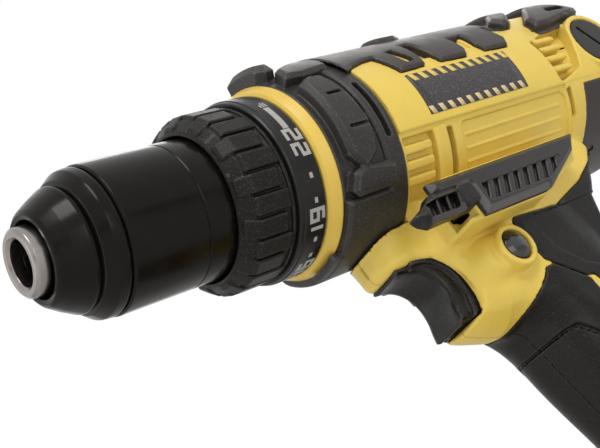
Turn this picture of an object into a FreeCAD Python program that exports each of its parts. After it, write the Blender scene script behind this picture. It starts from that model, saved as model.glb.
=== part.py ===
import FreeCAD, Part
import math
import os
import Sketcher

# A cordless drill driver with a keyless chuck, two planetary stages, a brushed motor and a slide-on pack.
# Lengths are in millimetres. The model is drawn in a drawing frame: X is the station behind the chuck's
# nose tip, Y points to the tool's right side and Z is the height over the pack's flat underside. Each
# finished sub-part is then moved forward by origin_station, so that the origin lies under the pack's middle.

V = FreeCAD.Vector
DOC = FreeCAD.newDocument("CordlessDrill")
SHEET = DOC.addObject("Spreadsheet::Sheet", "Sizes")

DRIVING = {
    # overall layout
    "axis_height": 205.0,
    "origin_station": 162.0,
    "running_gap": 0.1,
    "free_gap": 0.4,
    # chuck
    "nose_radius": 9.6,
    "bore_radius": 6.5,
    "bore_depth": 30.0,
    "bore_lip": 4.5,
    "bore_relief": 0.4,
    "cone_station": 3.8,
    "cone_mouth_radius": 12.3,
    "cone_length": 10.2,
    "cone_radius": 17.8,
    "bulge_length": 7.3,
    "sleeve_radius": 21.5,
    "sleeve_length": 36.0,
    "sleeve_wall": 3.1,
    "sleeve_step": 10.0,
    "seam_gap": 0.15,
    "body_waist_radius": 13.5,
    "body_shoulder": 16.0,
    "nut_station": 34.2,
    "nut_length": 10.4,
    "flange_station": 45.5,
    "flange_length": 8.0,
    "flange_radius": 16.5,
    "jaw_radius": 3.0,
    "jaw_length": 26.0,
    "jaw_station": 22.0,
    "jaw_centre_radius": 7.9,
    "jaw_travel": 22.0,
    "screw_radius": 2.5,
    "screw_head_radius": 4.5,
    "screw_head_height": 3.0,
    "screw_length": 22.0,
    # gearbox
    "spindle_radius": 6.35,
    "spindle_station": 34.0,
    "bearing_radius": 11.0,
    "bearing_width": 7.0,
    "front_bearing_station": 58.0,
    "rear_bearing_station": 72.0,
    "gearcase_nose_station": 57.0,
    "gearcase_nose_radius": 16.2,
    "gearcase_station": 80.0,
    "gearcase_radius": 23.0,
    "gearcase_wall": 3.0,
    "gearcase_floor": 4.0,
    "tooth_module": 0.8,
    "gear_width": 7.0,
    "gear_gap": 0.4,
    "ring_width": 8.0,
    "carrier_thickness": 4.0,
    "carrier_radius": 15.5,
    "planet_pin_radius": 2.0,
    "cover_thickness": 2.6,
    "motor_bearing_radius": 8.0,
    "motor_bearing_width": 6.0,
    # clutch and collars
    "collar_station": 54.7,
    "collar_mouth_radius": 22.2,
    "collar_front_radius": 26.0,
    "dial_station": 72.5,
    "dial_radius": 28.8,
    "trim_station": 82.8,
    "trim_radius": 31.0,
    "gear_collar_station": 87.2,
    "gear_collar_radius": 33.8,
    "gear_collar_wall": 3.0,
    "rib_height": 1.6,
    "spring_radius": 18.6,
    "spring_wire": 1.1,
    "washer_thickness": 1.6,
    "clutch_ball_radius": 1.9,
    # housing
    "housing_station": 112.4,
    "housing_end": 254.0,
    "barrel_radius": 34.0,
    "end_cone_length": 13.0,
    "end_cone_radius": 25.0,
    "wall": 2.4,
    "overmould": 2.0,
    "belly_half_width": 29.5,
    "belly_drop": 47.0,
    "belly_flat": 42.0,
    "belly_length": 70.0,
    "bridge_half_width": 17.0,
    "bridge_drop": 76.0,
    "nose_front_station": 94.0,
    "arch_rear_station": 119.0,
    "arch_roof_drop": 44.5,
    "guard_thickness": 8.0,
    "handle_depth": 42.0,
    "handle_half_width": 18.0,
    "handle_corner": 13.0,
    "handle_front_station": 128.5,
    "handle_top_drop": 35.0,
    "spine_half_width": 11.0,
    "spine_rise": 2.0,
    "bumper_rise": 4.0,
    "rear_wrap_station": 210.0,
    "rear_wrap_drop": 13.3,
    "claw_width": 12.5,
    "claw_pitch": 21.6,
    "claw_station": 129.5,
    "claw_reach": 8.8,
    "boss_station": 136.5,
    "boss_drop": 55.2,
    "boss_radius": 7.4,
    "boss_reach": 22.0,
    "plug_radius": 5.2,
    "panel_thickness": 3.0,
    "screw_post_radius": 4.2,
    "case_screw_radius": 1.6,
    "case_screw_head": 3.3,
    # motor
    "motor_station": 140.0,
    "motor_length": 66.0,
    "motor_radius": 27.2,
    "motor_can_wall": 1.7,
    "magnet_bore_radius": 17.6,
    "rotor_radius": 16.8,
    "rotor_length": 50.0,
    "rotor_slot_width": 2.4,
    "shaft_radius": 2.5,
    "shaft_end": 244.0,
    "fan_station": 122.0,
    "fan_radius": 24.0,
    "fan_width": 12.0,
    "fan_blade": 1.4,
    "commutator_radius": 10.5,
    "brush_station": 228.8,
    "brush_rise": 1.1,
    "brush_side": 6.0,
    "brush_cap_radius": 10.3,
    "brush_cap_reach": 34.6,
    # controls
    "trigger_half_width": 10.6,
    "trigger_travel": 6.0,
    "trigger_front_station": 106.5,
    "lever_station": 94.0,
    "lever_length": 27.0,
    "lever_bar_length": 6.0,
    "lever_height": 6.5,
    "lever_drop": 41.0,
    "lever_pad_drop": 43.5,
    "lever_pad_inset": 11.5,
    "lever_half_width": 32.5,
    "lever_travel": 6.0,
    "selector_station": 145.0,
    "selector_length": 14.0,
    "selector_half_width": 8.0,
    "selector_top": 39.0,
    "selector_travel": 8.0,
    # battery
    "foot_front_station": 120.0,
    "foot_length": 88.0,
    "foot_half_width": 33.0,
    "foot_height": 16.0,
    "pack_length": 108.0,
    "pack_height": 52.0,
    "pack_wall": 2.4,
    "rail_stem_half_width": 17.0,
    "rail_head_half_width": 21.5,
    "rail_stem_height": 3.6,
    "rail_head_height": 3.6,
    "rail_length": 76.0,
    "terminal_half_width": 14.0,
    "terminal_depth": 6.0,
    "cell_radius": 9.2,
    "cell_length": 65.0,
    "cell_end_room": 3.1,
    "cell_pitch": 18.9,
    "latch_travel": 3.0,
}


class Size:
    """A length or angle: its value, and the spreadsheet expression that gives it."""

    def __init__(self, value, text):
        self.value = value
        self.text = text

    def join(self, other, sign, value):
        return Size(value, f"({self.text} {sign} {text_of(other)})")

    def __add__(self, other):
        return self.join(other, "+", self.value + float(other))

    def __sub__(self, other):
        return self.join(other, "-", self.value - float(other))

    def __mul__(self, other):
        return self.join(other, "*", self.value * float(other))

    def __truediv__(self, other):
        return self.join(other, "/", self.value / float(other))

    def __neg__(self):
        return Size(-self.value, f"(0 - {self.text})")

    def __float__(self):
        return self.value


def text_of(number):
    return number.text if isinstance(number, Size) else str(number)


class Sizes:
    """The driving dimensions, one attribute for each cell of the spreadsheet."""

    def __init__(self, cells):
        for row, (alias, value) in enumerate(cells.items(), start=1):
            SHEET.set(f"A{row}", alias)
            SHEET.set(f"B{row}", str(value))
            SHEET.setAlias(f"B{row}", alias)
            setattr(self, alias, Size(value, f"Sizes.{alias}"))


JAW_LEAN_DEGREES = 15.0
HANDLE_LEAN_DEGREES = 11.3

S = Sizes(DRIVING)
S.arch_floor_drop = S.bridge_drop - S.guard_thickness
S.pack_half_width = S.cell_length / 2 + S.pack_wall + S.cell_end_room
DOC.recompute()
SUB_PARTS = {}
STATIONS = {}
COUNTER = {}


def fresh(stem):
    """A construction object's name that is not taken yet."""
    COUNTER[stem] = COUNTER.get(stem, 0) + 1
    return f"{stem}_{COUNTER[stem]}"


def bind(obj, **values):
    """Sets properties, and binds those that are sizes to their expressions."""
    for name, value in values.items():
        path = name.replace("__", ".")
        if isinstance(value, Size):
            obj.setExpression(path, value.text)
        elif "." not in path:
            setattr(obj, name, value)


def place(obj, x, y, z, rotation=None):
    """Puts a primitive at a point of the drawing frame; a plain 0 needs no expression."""
    obj.Placement = FreeCAD.Placement(V(float(x), float(y), float(z)), rotation or FreeCAD.Rotation())
    bind(obj, Placement__Base__x=x, Placement__Base__y=y, Placement__Base__z=z)
    STATIONS[obj.Name] = x
    return obj


def box(x0, x1, y0, y1, z0, z1):
    """A box between two corners, with z counted from the base."""
    obj = DOC.addObject("Part::Box", fresh("box"))
    bind(obj, Length=as_size(x1) - x0, Width=as_size(y1) - y0, Height=as_size(z1) - z0)
    return place(obj, as_size(x0), as_size(y0), as_size(z0))


def as_size(number):
    return number if isinstance(number, Size) else Size(float(number), str(number))


ALONG_X = FreeCAD.Rotation(V(0, 1, 0), 90)
ALONG_Y = FreeCAD.Rotation(V(1, 0, 0), -90)


def rod_x(x0, x1, radius, y=0.0, z=None):
    """A cylinder along X; z defaults to the drill's axis."""
    obj = DOC.addObject("Part::Cylinder", fresh("rod"))
    bind(obj, Radius=as_size(radius), Height=as_size(x1) - x0)
    return place(obj, as_size(x0), as_size(y), S.axis_height if z is None else as_size(z), ALONG_X)


def rod_y(y0, y1, radius, x, z):
    """A cylinder along Y."""
    obj = DOC.addObject("Part::Cylinder", fresh("rod"))
    bind(obj, Radius=as_size(radius), Height=as_size(y1) - y0)
    return place(obj, as_size(x), as_size(y0), as_size(z), ALONG_Y)


def cone_x(x0, x1, radius0, radius1):
    """A cone frustum along the drill's axis."""
    obj = DOC.addObject("Part::Cone", fresh("cone"))
    bind(obj, Radius1=as_size(radius0), Radius2=as_size(radius1), Height=as_size(x1) - x0)
    return place(obj, as_size(x0), as_size(0.0), S.axis_height, ALONG_X)


def fuse(*shapes):
    obj = DOC.addObject("Part::MultiFuse", fresh("fuse"))
    obj.Shapes = list(shapes)
    return obj


def cut(base, *tools):
    obj = DOC.addObject("Part::Cut", fresh("cut"))
    obj.Base = base
    obj.Tool = tools[0] if len(tools) == 1 else fuse(*tools)
    return obj


def common(first, second):
    obj = DOC.addObject("Part::Common", fresh("common"))
    obj.Base = first
    obj.Tool = second
    return obj


def group(*shapes):
    """Separate solids that share one node."""
    obj = DOC.addObject("Part::Compound", fresh("group"))
    obj.Links = list(shapes)
    return obj


def shape_feature(shape):
    """A feature whose shape this script works out itself, with its sizes read from the sheet."""
    obj = DOC.addObject("Part::Feature", fresh("shape"))
    obj.Shape = shape
    return obj


def sub_part(name, obj):
    """Names a finished sub-part and moves it from the drawing frame to the part's frame."""
    obj.Label = name
    base = obj.Placement.Base
    x = as_size(STATIONS.get(obj.Name, 0.0)) - S.origin_station
    obj.Placement = FreeCAD.Placement(V(float(x), base.y, base.z), obj.Placement.Rotation)
    bind(obj, Placement__Base__x=x)
    SUB_PARTS[name] = obj
    return obj


def sketch_loop(body, plane, points, name):
    """A closed outline of straight lines, each corner tied to its two sizes.

    A point is (across, up) and a third entry gives the radius of an arc that leads to the next point:
    positive bulges to the left of the way from one point to the next, negative to the right.
    """
    sketch = body.newObject("Sketcher::SketchObject", fresh(name))
    support = next(f for f in body.Origin.OriginFeatures if f.Role == plane)
    sketch.AttachmentSupport = [(support, "")]
    sketch.MapMode = "FlatFace"
    corners = [V(float(p[0]), float(p[1]), 0) for p in points]
    count = len(points)
    for i, point in enumerate(points):
        start, end = corners[i], corners[(i + 1) % count]
        if len(point) == 3:
            sketch.addGeometry(arc_between(start, end, float(point[2])))
        else:
            sketch.addGeometry(Part.LineSegment(start, end))
    start_of = {}
    end_of = {}
    for i in range(count):
        flipped = (sketch.getPoint(i, 1) - corners[i]).Length > 1e-6
        start_of[i] = (i, 2 if flipped else 1)
        end_of[i] = (i, 1 if flipped else 2)
    for i in range(count):
        sketch.addConstraint(Sketcher.Constraint("Coincident", *end_of[i], *start_of[(i + 1) % count]))
    for i, point in enumerate(points):
        for kind, axis, value in (("DistanceX", -2, point[0]), ("DistanceY", -1, point[1])):
            if isinstance(value, (int, float)) and value == 0:
                sketch.addConstraint(Sketcher.Constraint("PointOnObject", *start_of[i], axis))
                continue
            where = sketch.addConstraint(Sketcher.Constraint(kind, -1, 1, *start_of[i], float(value)))
            if isinstance(value, Size):
                sketch.setExpression(f"Constraints[{where}]", value.text)
        if len(point) == 3:
            radius = as_size(point[2])
            where = sketch.addConstraint(Sketcher.Constraint("Radius", i, abs(float(radius))))
            bound = radius if float(radius) > 0 else -radius
            sketch.setExpression(f"Constraints[{where}]", bound.text)
    return sketch


def arc_between(start, end, radius):
    """The shorter arc of that radius; positive bulges to the left of the way from start to end."""
    chord = end - start
    half = chord.Length / 2
    sagitta = abs(radius) - math.sqrt(max(radius * radius - half * half, 0.0))
    left = V(-chord.y, chord.x, 0).normalize()
    middle = (start + end) * 0.5 + left * (sagitta if radius > 0 else -sagitta)
    return Part.ArcOfCircle(start, middle, end)


def revolved(points, name="turned"):
    """A turned piece: its half profile, as (station, radius) points, spun round the drill's axis."""
    body = DOC.addObject("PartDesign::Body", fresh(name))
    sketch = sketch_loop(body, "XZ_Plane", points, "profile")
    spin = body.newObject("PartDesign::Revolution", fresh("spin"))
    spin.Profile = sketch
    spin.ReferenceAxis = (sketch, ["H_Axis"])
    spin.Angle = 360
    return place(body, as_size(0.0), as_size(0.0), S.axis_height)


def slab(points, half_width=None, y0=None, y1=None):
    """An outline in the side view, as (station, height over the axis) points, given a thickness in Y."""
    body = DOC.addObject("PartDesign::Body", fresh("slab"))
    sketch = sketch_loop(body, "XZ_Plane", points, "outline")
    pad = body.newObject("PartDesign::Pad", fresh("pad"))
    pad.Profile = sketch
    if half_width is not None:
        pad.SideType = "Symmetric"
        bind(pad, Length=as_size(half_width) * 2)
        return place(body, as_size(0.0), as_size(0.0), S.axis_height)
    bind(pad, Length=as_size(y1) - y0)
    return place(body, as_size(0.0), as_size(y1), S.axis_height)


def turned_ring(x0, x1, inner, outer):
    return revolved([(x0, inner), (x1, inner), (x1, outer), (x0, outer)], "ring")


def polar(radius, degrees):
    """Offsets in Y and Z of a point at that angle round the axis, counted from +Z toward +Y."""
    turn = math.radians(degrees)
    return V(0, radius * math.sin(turn), radius * math.cos(turn))


def turned_corner(degrees, half_width, lift):
    """Y, Z and rotation that stand a block on a circle round the axis, at that angle from +Z toward +Y."""
    turn = math.radians(degrees)
    across = lift * math.sin(turn) - half_width * math.cos(turn)
    up = lift * math.cos(turn) + half_width * math.sin(turn)
    return across, S.axis_height + up, FreeCAD.Rotation(V(1, 0, 0), -degrees)


# ---------------------------------------------------------------- chuck

def jaw_rod(radius, start, end, degrees):
    """A rod along one jaw's leaning line, from one distance behind the jaw's tip to another."""
    lean = math.radians(JAW_LEAN_DEGREES)
    outward = polar(1.0, degrees)
    way = V(math.cos(lean), 0, 0) + outward * math.sin(lean)
    tip = V(float(S.jaw_station), 0, float(S.axis_height)) + outward * float(S.jaw_centre_radius)
    return Part.makeCylinder(float(radius), float(end) - float(start), tip + way * float(start), way)


JAW_ANGLES = (0.0, 120.0, 240.0)
JAW_REACH = 60.0  # long enough to bore right through the chuck body


def jaw_wedge():
    """The space one upright jaw may fill: a 120 degree wedge over a flat, so that closed jaws just meet."""
    inward = float(S.jaw_travel) * math.sin(math.radians(JAW_LEAN_DEGREES))
    apex = inward + float(S.running_gap)
    flat = float(S.bore_radius) + float(S.bore_relief) + float(S.running_gap)
    slope = math.tan(math.radians(60.0))
    profile = [(-slope * (flat - apex), flat), (slope * (flat - apex), flat),
               (slope * (JAW_REACH - apex), JAW_REACH), (-slope * (JAW_REACH - apex), JAW_REACH)]
    corners = [V(float(S.jaw_station) - 1.0, across, up) for across, up in profile]
    face = Part.Face(Part.makePolygon(corners + corners[:1]))
    return face.extrude(V(JAW_REACH, 0, 0))


def chuck_jaws():
    """Three steel jaws that slide along leaning bores, each with a flat grip and bevelled sides."""
    wedge = jaw_wedge()
    for number, degrees in enumerate(JAW_ANGLES, start=1):
        rod = jaw_rod(S.jaw_radius, 0, S.jaw_length, degrees)
        room = wedge.copy()
        room.rotate(V(0, 0, 0), V(1, 0, 0), -degrees)
        room.translate(V(0, 0, float(S.axis_height)))
        sub_part(f"chuck_jaw_{number}", shape_feature(rod.common(room)))


def chuck_body():
    """The steel body: bored nose, waist, nut seat, rear flange and the thread's bore for the spindle."""
    profile = [
        (0, S.bore_radius + 0.5),
        (0, S.nose_radius - 1.0),
        (1.0, S.nose_radius),
        (S.body_shoulder / 2, S.nose_radius),
        (S.body_shoulder, S.body_waist_radius),
        (S.flange_station, S.body_waist_radius),
        (S.flange_station, S.flange_radius),
        (S.flange_station + S.flange_length, S.flange_radius),
        (S.flange_station + S.flange_length, S.spindle_radius),
        (S.spindle_station, S.spindle_radius),
        (S.spindle_station, S.screw_radius + 0.2),
        (S.bore_depth, S.screw_radius + 0.2),
        (S.bore_depth, S.bore_radius + S.bore_relief),
        (S.bore_lip + S.bore_relief, S.bore_radius + S.bore_relief),
        (S.bore_lip, S.bore_radius),
        (0.5, S.bore_radius),
    ]
    bores = [jaw_rod(S.jaw_radius + S.running_gap, -JAW_REACH / 2, JAW_REACH / 1.5, a) for a in JAW_ANGLES]
    channels = shape_feature(bores[0].multiFuse(bores[1:]))
    sub_part("chuck_body", cut(revolved(profile), channels))


def chuck_screw():
    """The left-hand screw that locks the chuck on the spindle."""
    head = S.bore_depth - S.screw_head_height
    profile = [
        (head, 0),
        (S.bore_depth + S.screw_length, 0),
        (S.bore_depth + S.screw_length, S.screw_radius),
        (S.bore_depth, S.screw_radius),
        (S.bore_depth, S.screw_head_radius),
        (head, S.screw_head_radius),
    ]
    sub_part("chuck_screw", revolved(profile))


def jaw_line(station, clearance):
    """Radius of the jaws' outer edge at a station, with a clearance added."""
    slope = math.tan(math.radians(JAW_LEAN_DEGREES))
    edge = S.jaw_centre_radius + S.jaw_radius / math.cos(math.radians(JAW_LEAN_DEGREES))
    return edge + (station - S.jaw_station) * slope + clearance


def chuck_shells():
    """The cone, the bulged ring and the long sleeve that the hand turns, with the nut inside it."""
    seam_one = S.cone_station + S.cone_length
    seam_two = seam_one + S.bulge_length
    step = seam_two + S.sleeve_step
    end = seam_two + S.sleeve_length
    inner = S.body_waist_radius + S.free_gap
    cone = [
        (S.cone_station, S.cone_mouth_radius - 0.9),
        (S.cone_station, S.cone_mouth_radius - 0.3),
        (S.cone_station + 0.5, S.cone_mouth_radius),
        (seam_one - S.seam_gap, S.cone_radius),
        (seam_one - S.seam_gap, S.body_waist_radius - 0.4),
        (S.body_shoulder / 2 + 0.4, S.nose_radius + S.free_gap),
        (S.cone_station + 2.4, S.nose_radius + S.free_gap),
        (S.cone_station + 2.4, S.cone_mouth_radius - 0.9),
    ]
    sub_part("chuck_nose_cone", revolved(cone))
    bulge = [
        (seam_one, inner),
        (seam_one, S.cone_radius - 0.3),
        (seam_one + 0.6, S.cone_radius + 0.9, S.sleeve_radius * 0.55),
        (seam_two - S.seam_gap, S.sleeve_radius - 0.3),
        (seam_two - S.seam_gap, inner),
    ]
    sub_part("chuck_bulge_ring", revolved(bulge))
    sleeve = [
        (seam_two, inner),
        (seam_two, S.sleeve_radius - 0.3),
        (seam_two + 0.3, S.sleeve_radius),
        (end, S.sleeve_radius),
        (end, S.sleeve_radius - S.sleeve_wall),
        (step, S.sleeve_radius - S.sleeve_wall),
        (step, inner),
    ]
    sub_part("chuck_sleeve", revolved(sleeve))
    nut_end = S.nut_station + S.nut_length
    nut = [
        (S.nut_station, jaw_line(S.nut_station, S.free_gap)),
        (nut_end, jaw_line(nut_end, S.free_gap)),
        (nut_end, S.sleeve_radius - S.sleeve_wall),
        (S.nut_station, S.sleeve_radius - S.sleeve_wall),
    ]
    sub_part("chuck_nut", revolved(nut))


# ---------------------------------------------------------------- gears

SUN_TEETH = 12
PLANET_TEETH = 15
RING_TEETH = SUN_TEETH + 2 * PLANET_TEETH
PLANET_ANGLES = (0.0, 120.0, 240.0)


def gear_outline(teeth, tip, root, thinning):
    """Points (across, up) of a straight-flanked gear with a tooth centred on +up.

    Each tooth is a trapezium: wide at the root circle, narrow at the tip circle and thinned at the pitch
    circle for backlash.
    """
    pitch_turn = 2 * math.pi / teeth
    root_half = pitch_turn * (0.36 - thinning)
    tip_half = pitch_turn * (0.14 - thinning / 2)
    points = []
    for tooth in range(teeth):
        centre = tooth * pitch_turn
        for turn, radius in ((-root_half, root), (-tip_half, tip), (tip_half, tip), (root_half, root)):
            points.append((radius * math.sin(centre + turn), radius * math.cos(centre + turn)))
    return points


def gear_prism(outline, x0, width, lift=0.0):
    """The solid of a gear outline, with its axis along X and that far over the drill's axis."""
    height = float(S.axis_height) + lift
    corners = [V(float(x0), across, height + up) for across, up in outline]
    face = Part.Face(Part.makePolygon(corners + corners[:1]))
    return face.extrude(V(float(width), 0, 0))


def pitch_radius(teeth):
    """Pitch radius of a gear with that many teeth."""
    return S.tooth_module * teeth / 2


ADDENDUM = 0.9   # tooth height outside the pitch circle, in modules
DEDENDUM = 1.2   # tooth depth inside it
THINNING = 0.035  # backlash, as a share of the tooth pitch


def external_gear(teeth, x0, width, lift=0.0):
    """A gear with outward teeth, one of them upright."""
    pitch = float(pitch_radius(teeth))
    module = float(S.tooth_module)
    outline = gear_outline(teeth, pitch + ADDENDUM * module, pitch - DEDENDUM * module, THINNING)
    return gear_prism(outline, x0, width, lift)


def internal_cut(x0, width):
    """What is cut from a ring so that inward teeth are left, with a space centred on +up."""
    pitch = float(pitch_radius(RING_TEETH))
    module = float(S.tooth_module)
    outline = gear_outline(RING_TEETH, pitch + DEDENDUM * module, pitch - ADDENDUM * module, -THINNING)
    return gear_prism(outline, x0, width)


def planet_offset():
    """Distance of the planets' axes from the drill's axis."""
    return float(pitch_radius(SUN_TEETH) + pitch_radius(PLANET_TEETH))


def stage_stations(stage):
    """Stations of one planetary stage: carrier front, gear front and ring front; stage 0 drives the chuck."""
    step = S.carrier_thickness + S.ring_width
    carrier = S.gearcase_station + S.gearcase_floor + S.gear_gap + step * stage
    ring = carrier + S.carrier_thickness
    return carrier, ring + S.gear_gap / 2, ring


def carrier_shape(stage, hub_radius, hub_front):
    """A carrier disc with its hub and three pins; a stage behind the first also carries a sun gear."""
    carrier, _, ring = stage_stations(stage)
    height = float(S.axis_height)
    disc = Part.makeCylinder(float(S.carrier_radius), float(S.carrier_thickness),
                             V(float(carrier), 0, height), V(1, 0, 0))
    hub = Part.makeCylinder(float(hub_radius), float(carrier) - float(hub_front),
                            V(float(hub_front), 0, height), V(1, 0, 0))
    pins = []
    for degrees in PLANET_ANGLES:
        at = polar(planet_offset(), degrees) + V(float(ring), 0, height)
        length = float(S.gear_width) + float(S.gear_gap)
        pins.append(Part.makeCylinder(float(S.planet_pin_radius), length, at, V(1, 0, 0)))
    return disc.multiFuse([hub] + pins)


def gear_train():
    """Two planetary stages: ring gears, planets, the output carrier and the input carrier with its sun."""
    for stage, ring_name, planet_name in ((0, "ring_gear_output", "output_planet"),
                                          (1, "ring_gear_input", "input_planet")):
        _, gears, ring = stage_stations(stage)
        outer = S.gearcase_radius - S.gearcase_wall
        blank = rod_x(ring, ring + S.ring_width, outer)
        teeth = shape_feature(internal_cut(float(ring) - 1, float(S.ring_width) + 2))
        sub_part(ring_name, cut(blank, teeth))
        for number, degrees in enumerate(PLANET_ANGLES, start=1):
            wheel = external_gear(PLANET_TEETH, gears, S.gear_width, planet_offset())
            bore = Part.makeCylinder(float(S.planet_pin_radius) + float(S.running_gap) / 2,
                                     float(S.gear_width) + 2,
                                     V(float(gears) - 1, 0, float(S.axis_height) + planet_offset()),
                                     V(1, 0, 0))
            planet = wheel.cut(bore)
            planet.rotate(V(0, 0, float(S.axis_height)), V(1, 0, 0), -degrees)
            sub_part(f"{planet_name}_{number}", shape_feature(planet))
    carrier = carrier_shape(0, S.spindle_radius, S.gearcase_station + S.gearcase_floor)
    sub_part("output_carrier", shape_feature(carrier))
    _, sun_gears, _ = stage_stations(0)
    input_carrier, _, _ = stage_stations(1)
    sun = external_gear(SUN_TEETH, sun_gears, float(input_carrier) - float(sun_gears))
    sub_part("input_carrier", shape_feature(carrier_shape(1, S.shaft_radius, sun_gears).fuse(sun)))


def spindle():
    """The threaded output spindle, hollow for the chuck screw."""
    hole = S.screw_radius
    profile = [
        (S.spindle_station, hole),
        (S.spindle_station, S.spindle_radius),
        (S.gearcase_station + S.gearcase_floor, S.spindle_radius),
        (S.gearcase_station + S.gearcase_floor, 0),
        (S.bore_depth + S.screw_length, 0),
        (S.bore_depth + S.screw_length, hole),
    ]
    sub_part("spindle", revolved(profile))


def bearing(station, bore, outer, width):
    """A ball bearing drawn as one ring with sunk shield faces."""
    lip = (outer - bore) * 0.35
    dish = width * 0.12
    profile = [
        (station, bore),
        (station, bore + lip),
        (station + dish, bore + lip),
        (station + dish, outer - lip),
        (station, outer - lip),
        (station, outer),
        (station + width, outer),
        (station + width, outer - lip),
        (station + width - dish, outer - lip),
        (station + width - dish, bore + lip),
        (station + width, bore + lip),
        (station + width, bore),
    ]
    return revolved(profile, "bearing")


def gearbox_case():
    """The die-cast case: a nose that holds the spindle's bearings, a pierced floor and the gear tube."""
    nose_end = S.gearcase_nose_station
    first = S.front_bearing_station + S.bearing_width
    second = S.rear_bearing_station
    floor = S.gearcase_station + S.gearcase_floor
    tube_end = rear_cover_station() + S.cover_thickness
    clear = S.spindle_radius + 0.6
    profile = [
        (nose_end, S.bearing_radius),
        (nose_end, S.gearcase_nose_radius),
        (S.gearcase_station, S.gearcase_nose_radius),
        (S.gearcase_station, S.gearcase_radius),
        (tube_end, S.gearcase_radius),
        (tube_end, S.gearcase_radius - S.gearcase_wall),
        (floor, S.gearcase_radius - S.gearcase_wall),
        (floor, clear),
        (second + S.bearing_width, clear),
        (second + S.bearing_width, S.bearing_radius),
        (second, S.bearing_radius),
        (second, clear),
        (first, clear),
        (first, S.bearing_radius),
    ]
    holes = []
    for number in range(BALL_COUNT):
        y, z = ball_centre(number)
        holes.append(rod_x(S.gearcase_station - 1, floor + 1, S.clutch_ball_radius + S.running_gap,
                           y, z))
    sub_part("gearbox_case", cut(revolved(profile, "case"), *holes))
    bearings = [bearing(S.front_bearing_station, S.spindle_radius, S.bearing_radius, S.bearing_width),
                bearing(second, S.spindle_radius, S.bearing_radius, S.bearing_width)]
    sub_part("spindle_bearings", group(*bearings))


BALL_COUNT = 6
BALL_TURN = 30.0


def ball_radius():
    """Distance of the clutch balls from the axis: between the case's nose and its tube."""
    return (S.gearcase_nose_radius + S.gearcase_radius - S.gearcase_wall) / 2 + 0.1


def ball_centre(number):
    """Y and Z of one clutch ball."""
    turn = math.radians(BALL_TURN + 360.0 / BALL_COUNT * number)
    return ball_radius() * round(math.sin(turn), 9), S.axis_height + ball_radius() * round(math.cos(turn), 9)


def rear_cover_station():
    """The gear train's rear cover stands just behind the second stage's ring gear."""
    _, _, ring = stage_stations(1)
    return ring + S.ring_width + S.gear_gap


def clutch():
    """Thrust washer, coil spring and balls of the torque clutch."""
    ball_x = S.gearcase_station + S.clutch_ball_radius - 0.9
    washer_x = ball_x - S.clutch_ball_radius - S.washer_thickness
    sub_part("clutch_washer", turned_ring(washer_x, washer_x + S.washer_thickness,
                                          S.gearcase_nose_radius + 0.3,
                                          S.spring_radius + S.spring_wire * 1.6))
    balls = []
    for number in range(BALL_COUNT):
        y, z = ball_centre(number)
        ball = DOC.addObject("Part::Sphere", fresh("ball"))
        bind(ball, Radius=S.clutch_ball_radius)
        balls.append(place(ball, ball_x, y, z))
    sub_part("clutch_balls", group(*balls))
    turns = 3
    front = spring_seat_station()
    coil_length = washer_x - front - S.spring_wire * 2 - 0.2
    helix = DOC.addObject("Part::Helix", fresh("helix"))
    bind(helix, Radius=S.spring_radius, Height=coil_length, Pitch=coil_length / turns)
    ring = DOC.addObject("Part::Circle", fresh("wire"))
    bind(ring, Radius=S.spring_wire)
    place(ring, S.spring_radius, as_size(0.0), as_size(0.0), FreeCAD.Rotation(V(1, 0, 0), 90))
    coil = DOC.addObject("Part::Sweep", fresh("coil"))
    coil.Sections = [ring]
    coil.Spine = (helix, [])
    coil.Solid = True
    coil.Frenet = True
    coil.Placement = FreeCAD.Placement(V(0, 0, 0), ALONG_X)
    place(coil, front + S.spring_wire + 0.1, as_size(0.0), S.axis_height, ALONG_X)
    sub_part("clutch_spring", coil)


def spring_seat_station():
    """The torque collar's inner flange ends here, and the clutch spring bears on it."""
    return S.front_bearing_station + S.bearing_width + 1.0


def rear_cover():
    """The cover behind the gears, with the motor's front bearing in its hub."""
    station = rear_cover_station()
    hub_end = station + S.cover_thickness + S.motor_bearing_width + 1.0
    seat = hub_end - S.motor_bearing_width
    clear = pitch_radius(SUN_TEETH) + S.tooth_module * 1.2
    profile = [
        (station, clear),
        (station, S.gearcase_radius - S.gearcase_wall),
        (station + S.cover_thickness, S.gearcase_radius - S.gearcase_wall),
        (station + S.cover_thickness, S.motor_bearing_radius + 2.4),
        (hub_end, S.motor_bearing_radius + 2.4),
        (hub_end, S.motor_bearing_radius),
        (seat, S.motor_bearing_radius),
        (seat, clear),
    ]
    sub_part("gearbox_cover", revolved(profile, "cover"))
    rear = S.shaft_end - S.motor_bearing_width - 2.0
    sub_part("motor_bearings", group(
        bearing(seat, S.shaft_radius, S.motor_bearing_radius, S.motor_bearing_width),
        bearing(rear, S.shaft_radius, S.motor_bearing_radius, S.motor_bearing_width)))


# ---------------------------------------------------------------- collars

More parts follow.
